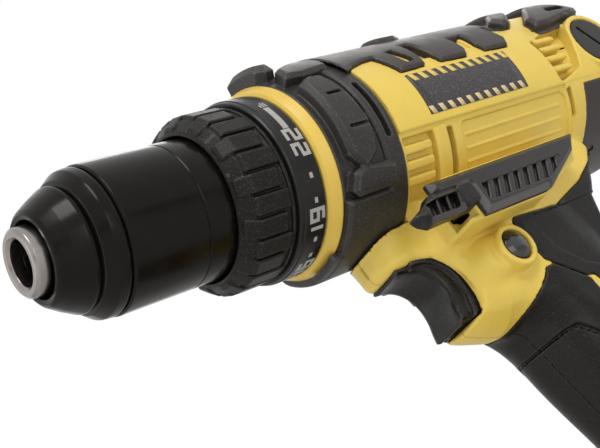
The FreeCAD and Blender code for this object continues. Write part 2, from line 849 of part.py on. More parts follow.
def torque_collar():
    """The ribbed collar that sets the torque, with staggered grip pads, and its number dial."""
    front = S.collar_station
    seat = spring_seat_station()
    shell = [
        (front, S.collar_mouth_radius),
        (front, S.collar_front_radius - 1.2),
        (front + 1.2, S.collar_front_radius),
        (S.dial_station, S.dial_radius - 1.6),
        (S.dial_station, S.dial_radius - 2.4),
        (S.trim_station - S.free_gap, S.dial_radius - 2.4),
        (S.trim_station - S.free_gap, S.gearcase_radius + S.running_gap),
        (S.gearcase_station, S.gearcase_radius + S.running_gap),
        (S.gearcase_station, S.spring_radius + S.spring_wire * 2.6),
        (seat, S.spring_radius + S.spring_wire * 2.6),
        (seat, S.gearcase_nose_radius + S.free_gap),
        (seat - 3.0, S.gearcase_nose_radius + S.free_gap),
        (seat - 3.0, S.collar_mouth_radius),
    ]
    body = revolved(shell, "collar")
    pads = []
    for number in range(PAD_COUNT):
        shift = 2.2 if number % 2 else 0.0
        pad = DOC.addObject("Part::Box", fresh("pad_block"))
        bind(pad, Length=S.dial_station - front - 5.0, Width=S.dial_radius * 0.17,
             Height=S.rib_height + 3.0)
        across, up, spin = turned_corner(360.0 / PAD_COUNT * number, S.dial_radius * 0.085,
                                         S.collar_front_radius - 2.4)
        pads.append(place(pad, front + 1.2 + shift, across, up, spin))
    sub_part("torque_collar", fuse(body, *pads))
    sub_part("torque_dial", turned_ring(S.dial_station, S.trim_station - S.free_gap,
                                        S.dial_radius - 2.4, S.dial_radius))


PAD_COUNT = 18


def fixed_collars():
    """The trim ring and the gear collar, both fixed round the gearbox."""
    trim = [
        (S.trim_station, S.gearcase_radius),
        (S.trim_station, S.dial_radius + 0.1),
        (S.gear_collar_station, S.trim_radius),
        (S.gear_collar_station, S.gearcase_radius),
    ]
    sub_part("trim_ring", revolved(trim, "trim"))
    rear = S.housing_station
    inner = S.gear_collar_radius - S.gear_collar_wall
    collar = [
        (S.gear_collar_station, S.gearcase_radius),
        (S.gear_collar_station, S.trim_radius - 0.6),
        (S.gear_collar_station + 3.0, S.trim_radius + 1.0),
        (rear - 6.0, S.gear_collar_radius),
        (rear, S.gear_collar_radius),
        (rear, inner),
        (S.gear_collar_station + 4.0, inner - 2.0),
        (S.gear_collar_station + 4.0, S.gearcase_radius),
    ]
    body = revolved(collar, "gear_collar")
    foot_half = S.trigger_half_width
    foot_end = S.nose_front_station - 1.5 - S.free_gap
    foot = slab([
        (S.trim_station - 1.0, -S.trim_radius + 2.0),
        (foot_end, -S.gear_collar_radius + 2.0),
        (foot_end, -S.gear_collar_radius - 0.6),
        (S.trim_station + 1.0, -S.gear_collar_radius + 0.6),
        (S.trim_station - 1.0, -S.gear_collar_radius + 1.8),
    ], half_width=foot_half)
    core = rod_x(S.trim_station - 2, rear + 1, S.gear_collar_radius - 2.4)
    sub_part("gear_collar", fuse(body, cut(foot, core)))


# ---------------------------------------------------------------- housing

def below(drop):
    """A height that is the given drop below the axis, for side-view outlines."""
    return -as_size(drop)


def rounded_handle(inset):
    """The leaning handle with its four long edges rounded."""
    block = DOC.addObject("Part::Box", fresh("handle_block"))
    length = S.axis_height - S.handle_top_drop - handle_end_height()
    bind(block, Length=S.handle_depth - as_size(inset) * 2, Width=(S.handle_half_width - inset) * 2,
         Height=length)
    DOC.recompute()
    rounded = DOC.addObject("Part::Fillet", fresh("handle"))
    rounded.Base = block
    radius = float(S.handle_corner) - float(inset)
    upright = [i for i, e in enumerate(block.Shape.Edges, start=1)
               if abs(e.Vertexes[0].Point.z - e.Vertexes[1].Point.z) > 1]
    rounded.Edges = [(i, radius, radius) for i in upright]
    lean = FreeCAD.Rotation(V(0, 1, 0), -HANDLE_LEAN_DEGREES)
    holder = DOC.addObject("Part::Compound", fresh("handle_place"))
    holder.Links = [rounded]
    slope = math.tan(math.radians(HANDLE_LEAN_DEGREES))
    x = S.handle_front_station + inset + length * slope
    return place(holder, x, -(S.handle_half_width - inset), handle_end_height(), lean)


def handle_end_height():
    """The handle runs down to the middle of the foot."""
    return S.pack_height + S.foot_height / 2


def envelope(inset, with_foot=True, with_guard=True):
    """The outside of the housing, drawn in by the inset: barrel, belly, trigger bridge, handle and foot.

    The trigger guard and the foot are solid, so the hollow is drawn without them.
    """
    inset = as_size(inset)
    end = S.housing_end - inset
    cone_front = end - S.end_cone_length
    barrel = rod_x(S.housing_station, cone_front, S.barrel_radius - inset)
    tail = cone_x(cone_front, end, S.barrel_radius - inset, S.end_cone_radius - inset)
    belly = slab([
        (S.housing_station + inset, below(10.0)),
        (S.housing_station + inset, below(S.belly_drop - inset)),
        (S.housing_station + S.belly_flat, below(S.belly_drop - inset)),
        (S.housing_station + S.belly_length - inset, below(S.barrel_radius - 3.0 - inset)),
        (S.housing_station + S.belly_length + 5.0 - inset, below(10.0)),
    ], half_width=S.belly_half_width - inset)
    guard = [
        (S.arch_rear_station + inset, below(S.arch_floor_drop - 8.0)),
        (S.arch_rear_station - 5.0 + inset, below(S.arch_floor_drop + inset)),
        (S.arch_rear_station - 12.5 + inset, below(S.arch_floor_drop + 2.5 + inset)),
        (S.arch_rear_station - 11.5 + inset, below(S.arch_floor_drop + 5.0 - inset)),
    ]
    guard_root = [(S.arch_rear_station + inset, below(S.bridge_drop - inset))]
    bridge = slab([
        (S.nose_front_station + inset, below(S.barrel_radius - 2.0)),
        (S.nose_front_station - 1.5 + inset, below(S.arch_roof_drop - 2.0 - inset * 0.5)),
        (S.nose_front_station + 2.5 + inset, below(S.arch_roof_drop - inset)),
        (S.arch_rear_station - 7.0, below(S.arch_roof_drop - inset)),
        (S.arch_rear_station + inset, below(S.arch_roof_drop + 9.0)),
        *(guard if with_guard else guard_root),
        (S.handle_front_station + 9.0, below(S.bridge_drop - inset)),
        (S.handle_front_station + S.handle_depth - 4.0, below(S.bridge_drop - inset)),
        (S.handle_front_station + S.handle_depth + 6.0 - inset, below(S.belly_drop - 2.0)),
        (S.handle_front_station + S.handle_depth + 16.0 - inset, below(S.barrel_radius - 2.0)),
    ], half_width=S.bridge_half_width - inset)
    collar_room = rod_x(S.nose_front_station - 10, S.housing_station, S.gear_collar_radius + S.free_gap)
    foot_top = S.pack_height + S.foot_height
    foot = box(S.foot_front_station + inset, S.foot_front_station + S.foot_length - inset,
               -(S.foot_half_width - inset), S.foot_half_width - inset,
               S.pack_height + S.free_gap, foot_top - inset)
    pieces = [barrel, tail, belly, cut(bridge, collar_room), rounded_handle(inset)]
    return fuse(*pieces, foot) if with_foot else fuse(*pieces)


def spine_regions():
    """Where the black overmould runs: along the top with its claws, its prouder bumpers and round the rear."""
    reach = S.barrel_radius + 6
    top = S.axis_height + reach
    spine_end = S.housing_end - 9.0
    spine = box(S.housing_station, spine_end, -S.spine_half_width, S.spine_half_width,
                S.axis_height + 20.0, top)
    claws = []
    for number in range(CLAW_COUNT):
        front = S.claw_station + S.claw_pitch * number
        claws.append(box(front, front + S.claw_width, -reach, reach, S.axis_height + S.claw_reach, top))
    bumper_front = S.claw_station + S.claw_pitch * 3 + 5.0
    bumpers = [
        box(bumper_front, bumper_front + 15.0, -reach, reach, S.axis_height + 27.0, top),
        box(spine_end - 19.0, spine_end, -reach, reach, S.axis_height + 19.0, top),
    ]
    end = S.housing_end + 1
    low = S.axis_height - reach
    rear = fuse(box(spine_end - 1, end, -reach, reach, low, top),
                box(S.rear_wrap_station, end, -reach, reach, low, S.axis_height - S.rear_wrap_drop))
    return fuse(spine, *claws), fuse(*bumpers), rear


def grip_region():
    """Where the handle is overmoulded: the sides, the web behind them and, lower down, all round."""
    strip_end = S.bridge_drop + 20.0
    front = S.handle_front_station
    low = S.axis_height - S.pack_height - S.foot_height
    grip = slab([
        (front - 20.0, below(S.bridge_drop + 2.0)),
        (front - 3.0, below(S.bridge_drop)),
        (front + 15.0, below(S.bridge_drop - 12.0)),
        (front + 29.0, below(S.bridge_drop - 2.0)),
        (front + 30.5, below(strip_end)),
        (front + 70.0, below(strip_end)),
        (front + 70.0, below(low)),
        (front - 20.0, below(low)),
    ], half_width=S.handle_half_width + 4.0)
    rear_web = slab([
        (front + 18.0, below(S.belly_drop - 3.0)),
        (front + 18.0, below(S.bridge_drop - 16.0)),
        (front + 32.0, below(S.bridge_drop - 5.0)),
        (front + 33.5, below(strip_end + 1.0)),
        (front + 60.0, below(strip_end + 1.0)),
        (front + 60.0, below(S.belly_drop - 10.0)),
    ], half_width=S.barrel_radius)
    return fuse(grip, rear_web)


CLAW_COUNT = 3


def half(obj, side):
    """The left half, toward -Y, for side -1, and the right half for side +1."""
    reach = S.axis_height
    low, high = (-reach, as_size(0.0)) if side < 0 else (as_size(0.0), reach)
    return common(obj, box(S.dial_station - 10.0, S.housing_end + 10.0, low, high, 0.0, S.axis_height + reach))


def screw_places():
    """Station and height of the five screws that join the halves."""
    return (
        (S.handle_front_station + 36.0, S.axis_height - S.bridge_drop + 1.0),
        (S.handle_front_station + 33.0, S.axis_height - S.bridge_drop - 40.0),
        (S.foot_front_station + 13.0, S.pack_height + 11.6),
        (S.housing_end - 11.0, S.axis_height - 20.0),
        (S.housing_end - 11.0, S.axis_height + 20.0),
    )


def windows():
    """Openings in the housing: trigger slot, lever window, selector slot, vents, caps, pack channel."""
    axis = S.axis_height
    slot_half = S.trigger_half_width + S.free_gap
    trigger = box(S.nose_front_station - 5, S.arch_rear_station + 24,
                  -slot_half, slot_half,
                  axis - S.arch_floor_drop + 0.6, axis - S.arch_roof_drop - 0.6)
    lever_end = S.lever_station + S.lever_length
    lever = box(lever_end - S.lever_bar_length - S.free_gap, lever_end + S.free_gap,
                -S.barrel_radius - 8, S.barrel_radius + 8,
                axis - S.lever_drop - S.free_gap, axis - S.lever_drop + S.lever_height + S.free_gap)
    selector = box(S.selector_station - 2.0, S.selector_station + S.selector_length + S.selector_travel + 2.0,
                   -4.4, 4.4, axis + 26.0, axis + S.barrel_radius + S.bumper_rise + 1)
    caps = rod_y(-S.barrel_radius - 4, S.barrel_radius + 4, S.brush_cap_radius + S.running_gap,
                 S.brush_station, axis + S.brush_rise)
    pieces = [trigger, lever, selector, caps]
    pad_room = S.bridge_half_width + S.free_gap
    for side in (-1, 1):
        low, high = (pad_room, S.barrel_radius) if side > 0 else (-S.barrel_radius, -pad_room)
        pieces.append(box(S.nose_front_station, lever_end - S.lever_bar_length + 1.0 + S.free_gap, low, high,
                          axis - S.lever_pad_drop - S.free_gap,
                          axis - S.lever_drop + S.lever_height + S.free_gap))
        near = as_size(20.0) if side > 0 else -S.barrel_radius - 1
        far = S.barrel_radius + 1 if side > 0 else as_size(-20.0)
        pieces.append(box(S.fan_station + 11.5, S.fan_station + 14.0, near, far, axis - 26.0, axis - 14.0))
        for number in range(4):
            low = axis - 7.4 + 4.4 * number
            pieces.append(box(S.brush_station - 32.0, S.brush_station - 21.5, near, far, low, low + 2.0))
    channel_top = S.pack_height + S.rail_stem_height + S.rail_head_height + S.free_gap
    rail_end = S.foot_front_station + S.rail_length + S.free_gap
    pieces.append(box(S.foot_front_station - 1, rail_end,
                      -(S.rail_stem_half_width + S.free_gap), S.rail_stem_half_width + S.free_gap,
                      S.pack_height - 1, channel_top))
    pieces.append(box(S.foot_front_station - 1, rail_end,
                      -(S.rail_head_half_width + S.free_gap), S.rail_head_half_width + S.free_gap,
                      S.pack_height + S.rail_stem_height - S.free_gap, channel_top))
    pieces.append(box(rail_end - 1, rail_end + S.terminal_depth, -S.terminal_half_width,
                      S.terminal_half_width, S.pack_height - 1, channel_top))
    return pieces


def motor_ribs():
    """Ribs inside the barrel that hold the motor's can, its rear bearing and the gearbox's rear cover."""
    ribs = []
    reach = S.barrel_radius - S.wall / 2
    for front in (S.motor_station + 4.0, S.motor_station + S.motor_length - 9.0):
        ribs.append(turned_ring(front, front + 3.0, S.motor_radius, reach))
    rear = S.shaft_end - S.motor_bearing_width - 2.0
    ribs.append(turned_ring(rear, rear + S.motor_bearing_width - 1.0, S.motor_bearing_radius, reach - 1.0))
    ribs.append(turned_ring(S.housing_station + 1.5, S.housing_station + 4.0,
                            S.motor_bearing_radius + 2.4, reach))
    return ribs


def housing():
    """The two yellow halves, and the black overmould that fills the regions cut from them."""
    outside = envelope(0.0)
    under = envelope(S.overmould)
    hollow = envelope(S.wall * 1.9, with_foot=False, with_guard=False)
    spine_region, bumper_region, rear_region = spine_regions()
    skin = cut(outside, under)
    spine_skin = cut(envelope(-S.spine_rise, with_foot=False), under)
    bumper_skin = cut(envelope(-S.bumper_rise, with_foot=False), under)
    openings = fuse(*windows())
    posts = []
    bores = []
    heads = []
    for x, z in screw_places():
        posts.append(rod_y(-S.bridge_half_width + 2, S.bridge_half_width - 2, S.screw_post_radius, x, z))
        bores.append(rod_y(-S.bridge_half_width + 2, S.bridge_half_width - 6,
                           S.case_screw_radius + S.running_gap, x, z))
        heads.append(rod_y(-S.foot_half_width - 8, -S.bridge_half_width + 6, S.case_screw_head + 0.3, x, z))
    collar_seat = cut(rod_x(S.housing_station, S.housing_station + 4.0, S.barrel_radius - S.wall / 2),
                      rod_x(S.housing_station - 1, S.housing_station + 5, S.gearcase_radius + 2))
    boss = rod_y(-S.boss_reach, S.boss_reach, S.boss_radius, S.boss_station, S.axis_height - S.boss_drop)
    boss_room = rod_y(-(S.bridge_half_width - S.wall), S.bridge_half_width - S.wall, S.boss_radius + 0.2,
                      S.boss_station, S.axis_height - S.boss_drop)
    boss_skin = cut(boss, boss_room)
    plug_holes = rod_y(-S.boss_reach - 1, S.boss_reach + 1, S.plug_radius, S.boss_station,
                       S.axis_height - S.boss_drop)
    walls = cut(outside, hollow)
    ring_bosses = cut(rod_y(-(S.brush_cap_reach - 0.4), S.brush_cap_reach - 0.4,
                            S.brush_cap_radius + 2.2, S.brush_station, S.axis_height + S.brush_rise),
                      rod_y(-28.0, 28.0, S.brush_cap_radius + 4, S.brush_station,
                            S.axis_height + S.brush_rise))
    solid = fuse(walls, *posts, *motor_ribs(), collar_seat, boss_skin, ring_bosses)
    spine = cut(fuse(common(spine_skin, spine_region), common(bumper_skin, bumper_region),
                     common(skin, rear_region)), openings, *heads)
    grip = cut(common(skin, grip_region()), openings, *heads)
    yellow = cut(solid, openings, spine, grip, plug_holes, *bores, *heads)
    for side, word in ((-1, "left"), (1, "right")):
        sub_part(f"housing_{word}", half(yellow, side))
        sub_part(f"spine_{word}", half(spine, side))
        sub_part(f"grip_{word}", half(grip, side))


def side_panels():
    """The bevelled rail panels on both sides of the belly."""
    points = [
        (S.housing_station - 2.0, below(30.3)),
        (S.housing_station + S.belly_length - 0.6, below(30.3)),
        (S.housing_station + S.belly_length - 5.6, below(36.0)),
        (S.housing_station + S.belly_flat + 1.6, below(S.belly_drop - 1.1)),
        (S.housing_station + S.belly_flat - 1.0, below(S.belly_drop - 0.2)),
        (S.housing_station + 10.5, below(S.belly_drop - 1.8)),
        (S.housing_station + 10.5, below(S.lever_drop - S.lever_height - 2.0)),
        (S.housing_station - 2.0, below(S.lever_drop - S.lever_height - 0.8)),
    ]
    flat = S.belly_half_width
    outer = flat + S.panel_thickness
    room = rod_x(S.housing_station - 6, S.housing_station, S.gear_collar_radius + S.free_gap)
    sub_part("side_panel_left", cut(slab(points, y0=-outer, y1=-flat), room))
    sub_part("side_panel_right", cut(slab(points, y0=flat, y1=outer), room))


def small_trim():
    """Brush caps, boss plugs and the case screws, each a set of like pieces in one node."""
    axis = S.axis_height
    caps = []
    plugs = []
    for side in (-1, 1):
        low, high = (as_size(30.0), S.brush_cap_reach) if side > 0 else (-S.brush_cap_reach, as_size(-30.0))
        disc = rod_y(low, high, S.brush_cap_radius, S.brush_station, axis + S.brush_rise)
        slot_low = S.brush_cap_reach - 1.4 if side > 0 else -S.brush_cap_reach - 1
        slot = box(S.brush_station - 7.0, S.brush_station + 7.0, slot_low, slot_low + 2.4,
                   axis + S.brush_rise - 0.8, axis + S.brush_rise + 0.8)
        caps.append(cut(disc, slot))
        foot = S.bridge_half_width if side > 0 else -S.boss_reach - 1.2
        top = S.boss_reach + 1.2 if side > 0 else -S.bridge_half_width
        plugs.append(rod_y(foot, top, S.plug_radius, S.boss_station, axis - S.boss_drop))
    sub_part("brush_caps", group(*caps))
    sub_part("boss_plugs", group(*plugs))
    screws = []
    for x, z in screw_places():
        shank = rod_y(-S.bridge_half_width + 6, S.bridge_half_width - 7, S.case_screw_radius, x, z)
        head = rod_y(-S.bridge_half_width + 3.4, -S.bridge_half_width + 6, S.case_screw_head - 0.2, x, z)
        screws.append(fuse(shank, head))
    sub_part("case_screws", group(*screws))


# ---------------------------------------------------------------- motor

def motor():
    """Can, magnets, armature, commutator, fan and brush gear of the brushed motor."""
    front = S.motor_station
    end = front + S.motor_length
    inner = S.motor_radius - S.motor_can_wall
    sub_part("motor_can", turned_ring(front, end, inner, S.motor_radius))
    magnets = []
    for side in (-1, 1):
        ring = turned_ring(front + 6, end - 6, S.magnet_bore_radius, inner)
        low, high = (as_size(6.0), S.motor_radius) if side > 0 else (-S.motor_radius, as_size(-6.0))
        magnets.append(common(ring, box(front, end, low, high, S.axis_height - S.motor_radius,
                                        S.axis_height + S.motor_radius)))
    sub_part("motor_magnets", group(*magnets))
    rotor_front = front + 8.0
    rotor_end = rotor_front + S.rotor_length
    _, pinion_x, _ = stage_stations(1)
    pinion = external_gear(SUN_TEETH, pinion_x, S.gear_width)
    shaft_front = float(pinion_x)
    shaft = Part.makeCylinder(float(S.shaft_radius), float(S.shaft_end) - shaft_front,
                              V(shaft_front, 0, float(S.axis_height)), V(1, 0, 0))
    sub_part("rotor_shaft", shape_feature(shaft.fuse(pinion)))
    core = cut(rod_x(rotor_front, rotor_end, S.rotor_radius), rod_x(front, end, S.shaft_radius))
    slots = []
    for number in range(ROTOR_SLOTS):
        slot = DOC.addObject("Part::Box", fresh("slot"))
        bind(slot, Length=S.rotor_length + 2, Width=S.rotor_slot_width, Height=4.0)
        across, up, spin = turned_corner(360.0 / ROTOR_SLOTS * number, S.rotor_slot_width / 2,
                                         S.rotor_radius - 3.0)
        slots.append(place(slot, rotor_front - 1, across, up, spin))
    sub_part("rotor_core", cut(core, *slots))
    sub_part("commutator", turned_ring(S.brush_station - 12.5, S.brush_station + 5.0, S.shaft_radius,
                                       S.commutator_radius))
    fan()
    brush_gear()


ROTOR_SLOTS = 12
FAN_BLADES = 9


def fan():
    """The cooling fan: a hub, a back plate and straight blades."""
    front = S.fan_station
    hub = turned_ring(front, front + S.fan_width, S.shaft_radius, S.shaft_radius + 4)
    plate = turned_ring(front, front + 1.6, S.shaft_radius + 4, S.fan_radius)
    blades = []
    for number in range(FAN_BLADES):
        blade = DOC.addObject("Part::Box", fresh("blade"))
        bind(blade, Length=S.fan_width - 1.0, Width=S.fan_blade, Height=S.fan_radius - S.shaft_radius - 3.6)
        across, up, spin = turned_corner(360.0 / FAN_BLADES * number, S.fan_blade / 2,
                                         S.shaft_radius + 3.4)
        blades.append(place(blade, front + 0.8, across, up, spin))
    sub_part("cooling_fan", fuse(hub, plate, *blades))


def brush_gear():
    """Carbon brushes in their square holders, on both sides of the commutator."""
    holders = []
    brushes = []
    half_side = S.brush_side / 2
    wall = half_side + 1.2
    axis = S.axis_height
    for side in (-1, 1):
        low, high = (S.commutator_radius + 1.2, as_size(29.8)) if side > 0 else \
            (as_size(-29.8), -(S.commutator_radius + 1.2))
        outer = box(S.brush_station - wall, S.brush_station + wall, low, high, axis - wall, axis + wall)
        room = box(S.brush_station - half_side - 0.1, S.brush_station + half_side + 0.1, low - 1, high + 1,
                   axis - half_side - 0.1, axis + half_side + 0.1)
        holders.append(cut(outer, room))
        tip, tail = (S.commutator_radius + 0.3, as_size(24.0)) if side > 0 else \
            (as_size(-24.0), -(S.commutator_radius + 0.3))
        brushes.append(box(S.brush_station - half_side, S.brush_station + half_side, tip, tail,
                           axis - half_side, axis + half_side))
    sub_part("brush_holders", group(*holders))
    sub_part("motor_brushes", group(*brushes))


# ---------------------------------------------------------------- controls

def trigger():
    """The trigger with a hollowed finger face, and its plunger that enters the switch."""
    top = S.arch_roof_drop + 1.2
    floor = S.arch_floor_drop - 1.2
    front = S.trigger_front_station
    face = slab([
        (front - 9.0, below(top + 1.2)),
        (front - 9.4, below(top + 2.8)),
        (front - 1.0, below(top + 5.0), 22.0),
        (front - 0.6, below(floor + 0.2)),
        (front + 5.0, below(floor)),
        (S.arch_rear_station + 10.0, below(floor)),
        (S.arch_rear_station + 10.0, below(top)),
        (front - 4.0, below(top)),
    ], half_width=S.trigger_half_width)
    rod_z = S.axis_height - (S.arch_roof_drop + S.arch_floor_drop) / 2
    plunger = rod_x(S.arch_rear_station + 8, S.arch_rear_station + 24, 3.0, 0.0, rod_z)
    sub_part("trigger", fuse(face, plunger))
    switch_front = S.arch_rear_station + 10.0 + S.trigger_travel + 0.8
    module = box(switch_front, switch_front + 24.0, -11.0, 11.0,
                 S.axis_height - S.arch_floor_drop + 1, S.axis_height - S.arch_roof_drop - 1)
    room = rod_x(switch_front - 1, S.arch_rear_station + 24 + S.trigger_travel + 1, 3.1, 0.0, rod_z)
    heat_sink = box(switch_front + 3, switch_front + 20, -9.0, 9.0, S.axis_height - S.arch_floor_drop - 1,
                    S.axis_height - S.arch_floor_drop + 1)
    sub_part("switch_module", fuse(cut(module, room), heat_sink))


def direction_lever():
    """The cross-slide that picks forward or reverse, with a finger pad at each end; left is out at rest."""
    x0 = S.lever_station
    x1 = x0 + S.lever_length
    bar_front = x1 - S.lever_bar_length
    shift = S.lever_travel / 2
    reach = S.lever_half_width
    inner = reach - S.lever_pad_inset
    top = S.lever_drop - S.lever_height
    bar = box(bar_front, x1, -reach - shift, reach - shift, S.axis_height - S.lever_drop,
              S.axis_height - top)
    pad = [
        (x0, below(S.lever_pad_drop - 3.6)),
        (x0 + 4.0, below(S.lever_pad_drop)),
        (bar_front, below(S.lever_pad_drop - 1.6)),
        (bar_front + 1.0, below(S.lever_drop)),
        (bar_front + 1.0, below(top)),
        (x0 + 6.0, below(top)),
    ]
    left = slab(pad, y0=-reach - shift, y1=-inner - shift)
    right = slab(pad, y0=inner - shift, y1=reach - shift)
    room = rod_x(x0 - 5, S.housing_station, S.gear_collar_radius + S.free_gap)
    sub_part("direction_lever", cut(fuse(bar, left, right), room))


def speed_selector():
    """The two-speed slide on top, with a stem through the housing's slot."""
    axis = S.axis_height
    x0 = S.selector_station
    seat = S.barrel_radius + S.spine_rise + 0.3
    knob = slab([
        (x0, seat),
        (x0 + S.selector_length, seat),
        (x0 + S.selector_length - 3.0, S.selector_top),
        (x0 + 3.0, S.selector_top),
    ], half_width=S.selector_half_width)
    stem = box(x0 + 2, x0 + S.selector_length - 2, -4.0, 4.0, axis + 28.6, axis + seat + 0.2)
    sub_part("speed_selector", fuse(knob, stem))


# ---------------------------------------------------------------- battery

def battery():
    """The slide-on pack: lower and upper case, ten cells, terminals in the foot and the front latch."""
    x0 = S.origin_station - S.pack_length / 2
    x1 = S.origin_station + S.pack_length / 2
    wide = S.pack_half_width
    split = S.pack_height * 0.42
    wall = S.pack_wall
    latch_low = split + 6.0
    latch_half = S.rail_stem_half_width - 1.0
    inside = box(x0 + wall * 3.4, x1 - wall, -(wide - wall), wide - wall, wall, S.pack_height - wall)
    latch_room = box(x0 - 1, x0 + wall * 2.6, -latch_half - 0.3, latch_half + 0.3,
                     latch_low - S.latch_travel - 0.6, S.pack_height + 1)
    lower = cut(box(x0, x1, -wide, wide, 0.0, split), inside)
    sub_part("pack_lower_case", lower)
    rail_front = S.foot_front_station
    stem = box(rail_front, rail_front + S.rail_length, -S.rail_stem_half_width, S.rail_stem_half_width,
               S.pack_height - 1, S.pack_height + S.rail_stem_height)
    head = box(rail_front, rail_front + S.rail_length, -S.rail_head_half_width, S.rail_head_half_width,
               S.pack_height + S.rail_stem_height, S.pack_height + S.rail_stem_height + S.rail_head_height - 0.3)
    top = S.pack_height + S.rail_stem_height + S.rail_head_height
    blade_room = []
    blades = []
    rail_end = rail_front + S.rail_length
    for number in range(3):
        y = -9.0 + 9.0 * number
        blade_room.append(box(rail_end - 12.0, rail_end + 1, y - 1.0, y + 1.0, S.pack_height + 1, top + 1))
        blades.append(box(rail_end - 10.0, rail_end + 0.6, y - 0.4, y + 0.4, S.pack_height + 1.8, top - 1.2))
    shell = cut(box(x0, x1, -wide, wide, split, S.pack_height), inside, latch_room)
    sub_part("pack_upper_case", cut(fuse(shell, stem, head), *blade_room))
    carrier = box(rail_end + 0.6, rail_end + S.free_gap + S.terminal_depth, -S.terminal_half_width,
                  S.terminal_half_width, S.pack_height + 1.2, top + S.free_gap)
    sub_part("terminal_block", group(carrier, *blades))
    latch = box(x0 + 0.3, x0 + wall * 2.4, -latch_half, latch_half, latch_low, S.pack_height - 0.4)
    sub_part("pack_latch", latch)
    cells = []
    across = x0 + wall * 3.4 + S.cell_radius + 0.3
    for column in range(CELL_COLUMNS):
        for row in range(CELL_ROWS):
            cells.append(rod_y(-S.cell_length / 2, S.cell_length / 2, S.cell_radius,
                               across + S.cell_pitch * column,
                               wall + S.cell_radius + 0.3 + S.cell_pitch * row))
    sub_part("pack_cells", group(*cells))


CELL_COLUMNS = 5
CELL_ROWS = 2


def check_objects():
    """Stops if any feature failed, or if a sub-part's shape is empty or not valid."""
    for obj in DOC.Objects:
        if {"Invalid", "Error"} & set(obj.State):
            raise RuntimeError(f"{obj.Name} ({obj.Label}) failed: {obj.State}")
    for name, obj in SUB_PARTS.items():
        if obj.Shape.isNull() or not obj.Shape.isValid() or not obj.Shape.Solids:
            raise RuntimeError(f"{name} has no valid solid")


def write_parts():
    os.makedirs("parts", exist_ok=True)
    for name, obj in SUB_PARTS.items():
        obj.Shape.exportStep(os.path.join("parts", f"{name}.step"))


def build():
    chuck_body()
    chuck_jaws()
    chuck_screw()
    chuck_shells()
    spindle()
    gear_train()
    gearbox_case()
    clutch()
    rear_cover()
    torque_collar()
    fixed_collars()
    housing()
    side_panels()
    small_trim()
    motor()
    trigger()
    direction_lever()
    speed_selector()
    battery()
    DOC.recompute()
    check_objects()
    write_parts()


build()
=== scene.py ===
"""Looks of a cordless drill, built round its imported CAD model.

Drawing coordinates, in millimetres: s runs back from the chuck's nose tip along the drill's axis,
y to the side, and z up from the axis. The drill's left side, the one with the boss plug in view,
is at negative y. Most shells are signed-distance fields, meshed by OpenVDB and moved onto the
exact surface.
"""

import math
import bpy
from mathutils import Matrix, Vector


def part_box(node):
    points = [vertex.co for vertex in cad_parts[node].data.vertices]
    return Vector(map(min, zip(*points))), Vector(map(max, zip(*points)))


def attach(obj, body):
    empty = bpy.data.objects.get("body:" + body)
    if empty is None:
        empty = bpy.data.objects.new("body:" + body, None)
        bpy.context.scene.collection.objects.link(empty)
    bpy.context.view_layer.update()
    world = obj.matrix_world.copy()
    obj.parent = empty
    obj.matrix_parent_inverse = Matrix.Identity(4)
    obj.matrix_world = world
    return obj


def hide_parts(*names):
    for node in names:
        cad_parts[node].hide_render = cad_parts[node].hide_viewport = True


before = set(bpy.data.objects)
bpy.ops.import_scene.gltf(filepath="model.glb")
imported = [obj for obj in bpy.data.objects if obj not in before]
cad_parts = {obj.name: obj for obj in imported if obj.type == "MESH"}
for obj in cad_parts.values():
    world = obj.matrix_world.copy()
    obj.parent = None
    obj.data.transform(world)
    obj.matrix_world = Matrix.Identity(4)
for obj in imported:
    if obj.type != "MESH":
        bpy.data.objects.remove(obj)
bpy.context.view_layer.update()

from concurrent.futures import ThreadPoolExecutor
from functools import reduce

import bmesh
import bpy
import numpy as np
import openvdb
from mathutils import Vector

MM = 0.001
AXIS_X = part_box("chuck_body")[0].x
AXIS_Z = (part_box("chuck_sleeve")[0].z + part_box("chuck_sleeve")[1].z) / 2


def span(node, axis):
    """A CAD node's lowest and highest drawing coordinates along s, y or z, in millimetres."""
    index = "syz".index(axis)
    origin = (AXIS_X, 0, AXIS_Z)[index]
    lowest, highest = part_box(node)
    return (lowest[index] - origin) / MM, (highest[index] - origin) / MM


def low(node, axis):
    return span(node, axis)[0]


def high(node, axis):
    return span(node, axis)[1]


def spot(s, y, z):
    """A point of the drawing in the shared frame, in metres."""
    return Vector((AXIS_X + s * MM, y * MM, AXIS_Z + z * MM))


# ---- sizes

BARREL = 34
UPPER_SIDE = 34.2
LOWER_SIDE = 33
SIDE_TOP = 36
TOP_RADIUS = 35
HOUSING_FRONT = low("housing_left", "s")
COLLAR_REAR = high("gear_collar", "s")
HOUSING_END = high("spine_left", "s")
COLLAR_RADIUS = 33.8
BELLY_HALF = 29.5
HANDLE_HALF = 18
HANDLE_DEPTH = 42
HANDLE_CORNER = 13
HANDLE_LEAN = math.radians(11.3)
HANDLE_FOOT = (152.2, -145)
FOOT_HALF = 33
FOOT_LOW = -152.6
SPINE_RISE = 1.5
BUMPER_RISE = 3.3
GRIP_RISE = 0.5
RUBBER_DEPTH = 1.8
SHELL = 3.6
TRIGGER_FACE_HALF = 8.3
TRIGGER_HALF = 9.7
TRIGGER_SLOT_HALF = 10
BOSS = (136.5, -55.2)
BOSS_RADIUS = 7.4
BOSS_HOLE = 5.5
BRUSH = (228.8, 1.1)
BRUSH_RING = 12.6
BRUSH_HOLE = 10.5


# ---- fields

def rmax(a, b, r):
    """Intersection of two fields, its edge rounded by r."""
    return np.minimum(np.maximum(a, b), -r) + np.hypot(np.maximum(a + r, 0), np.maximum(b + r, 0))


def rmin(a, b, r):
    """Union of two fields, its inner corner filled by r."""
    return -rmax(-a, -b, r)


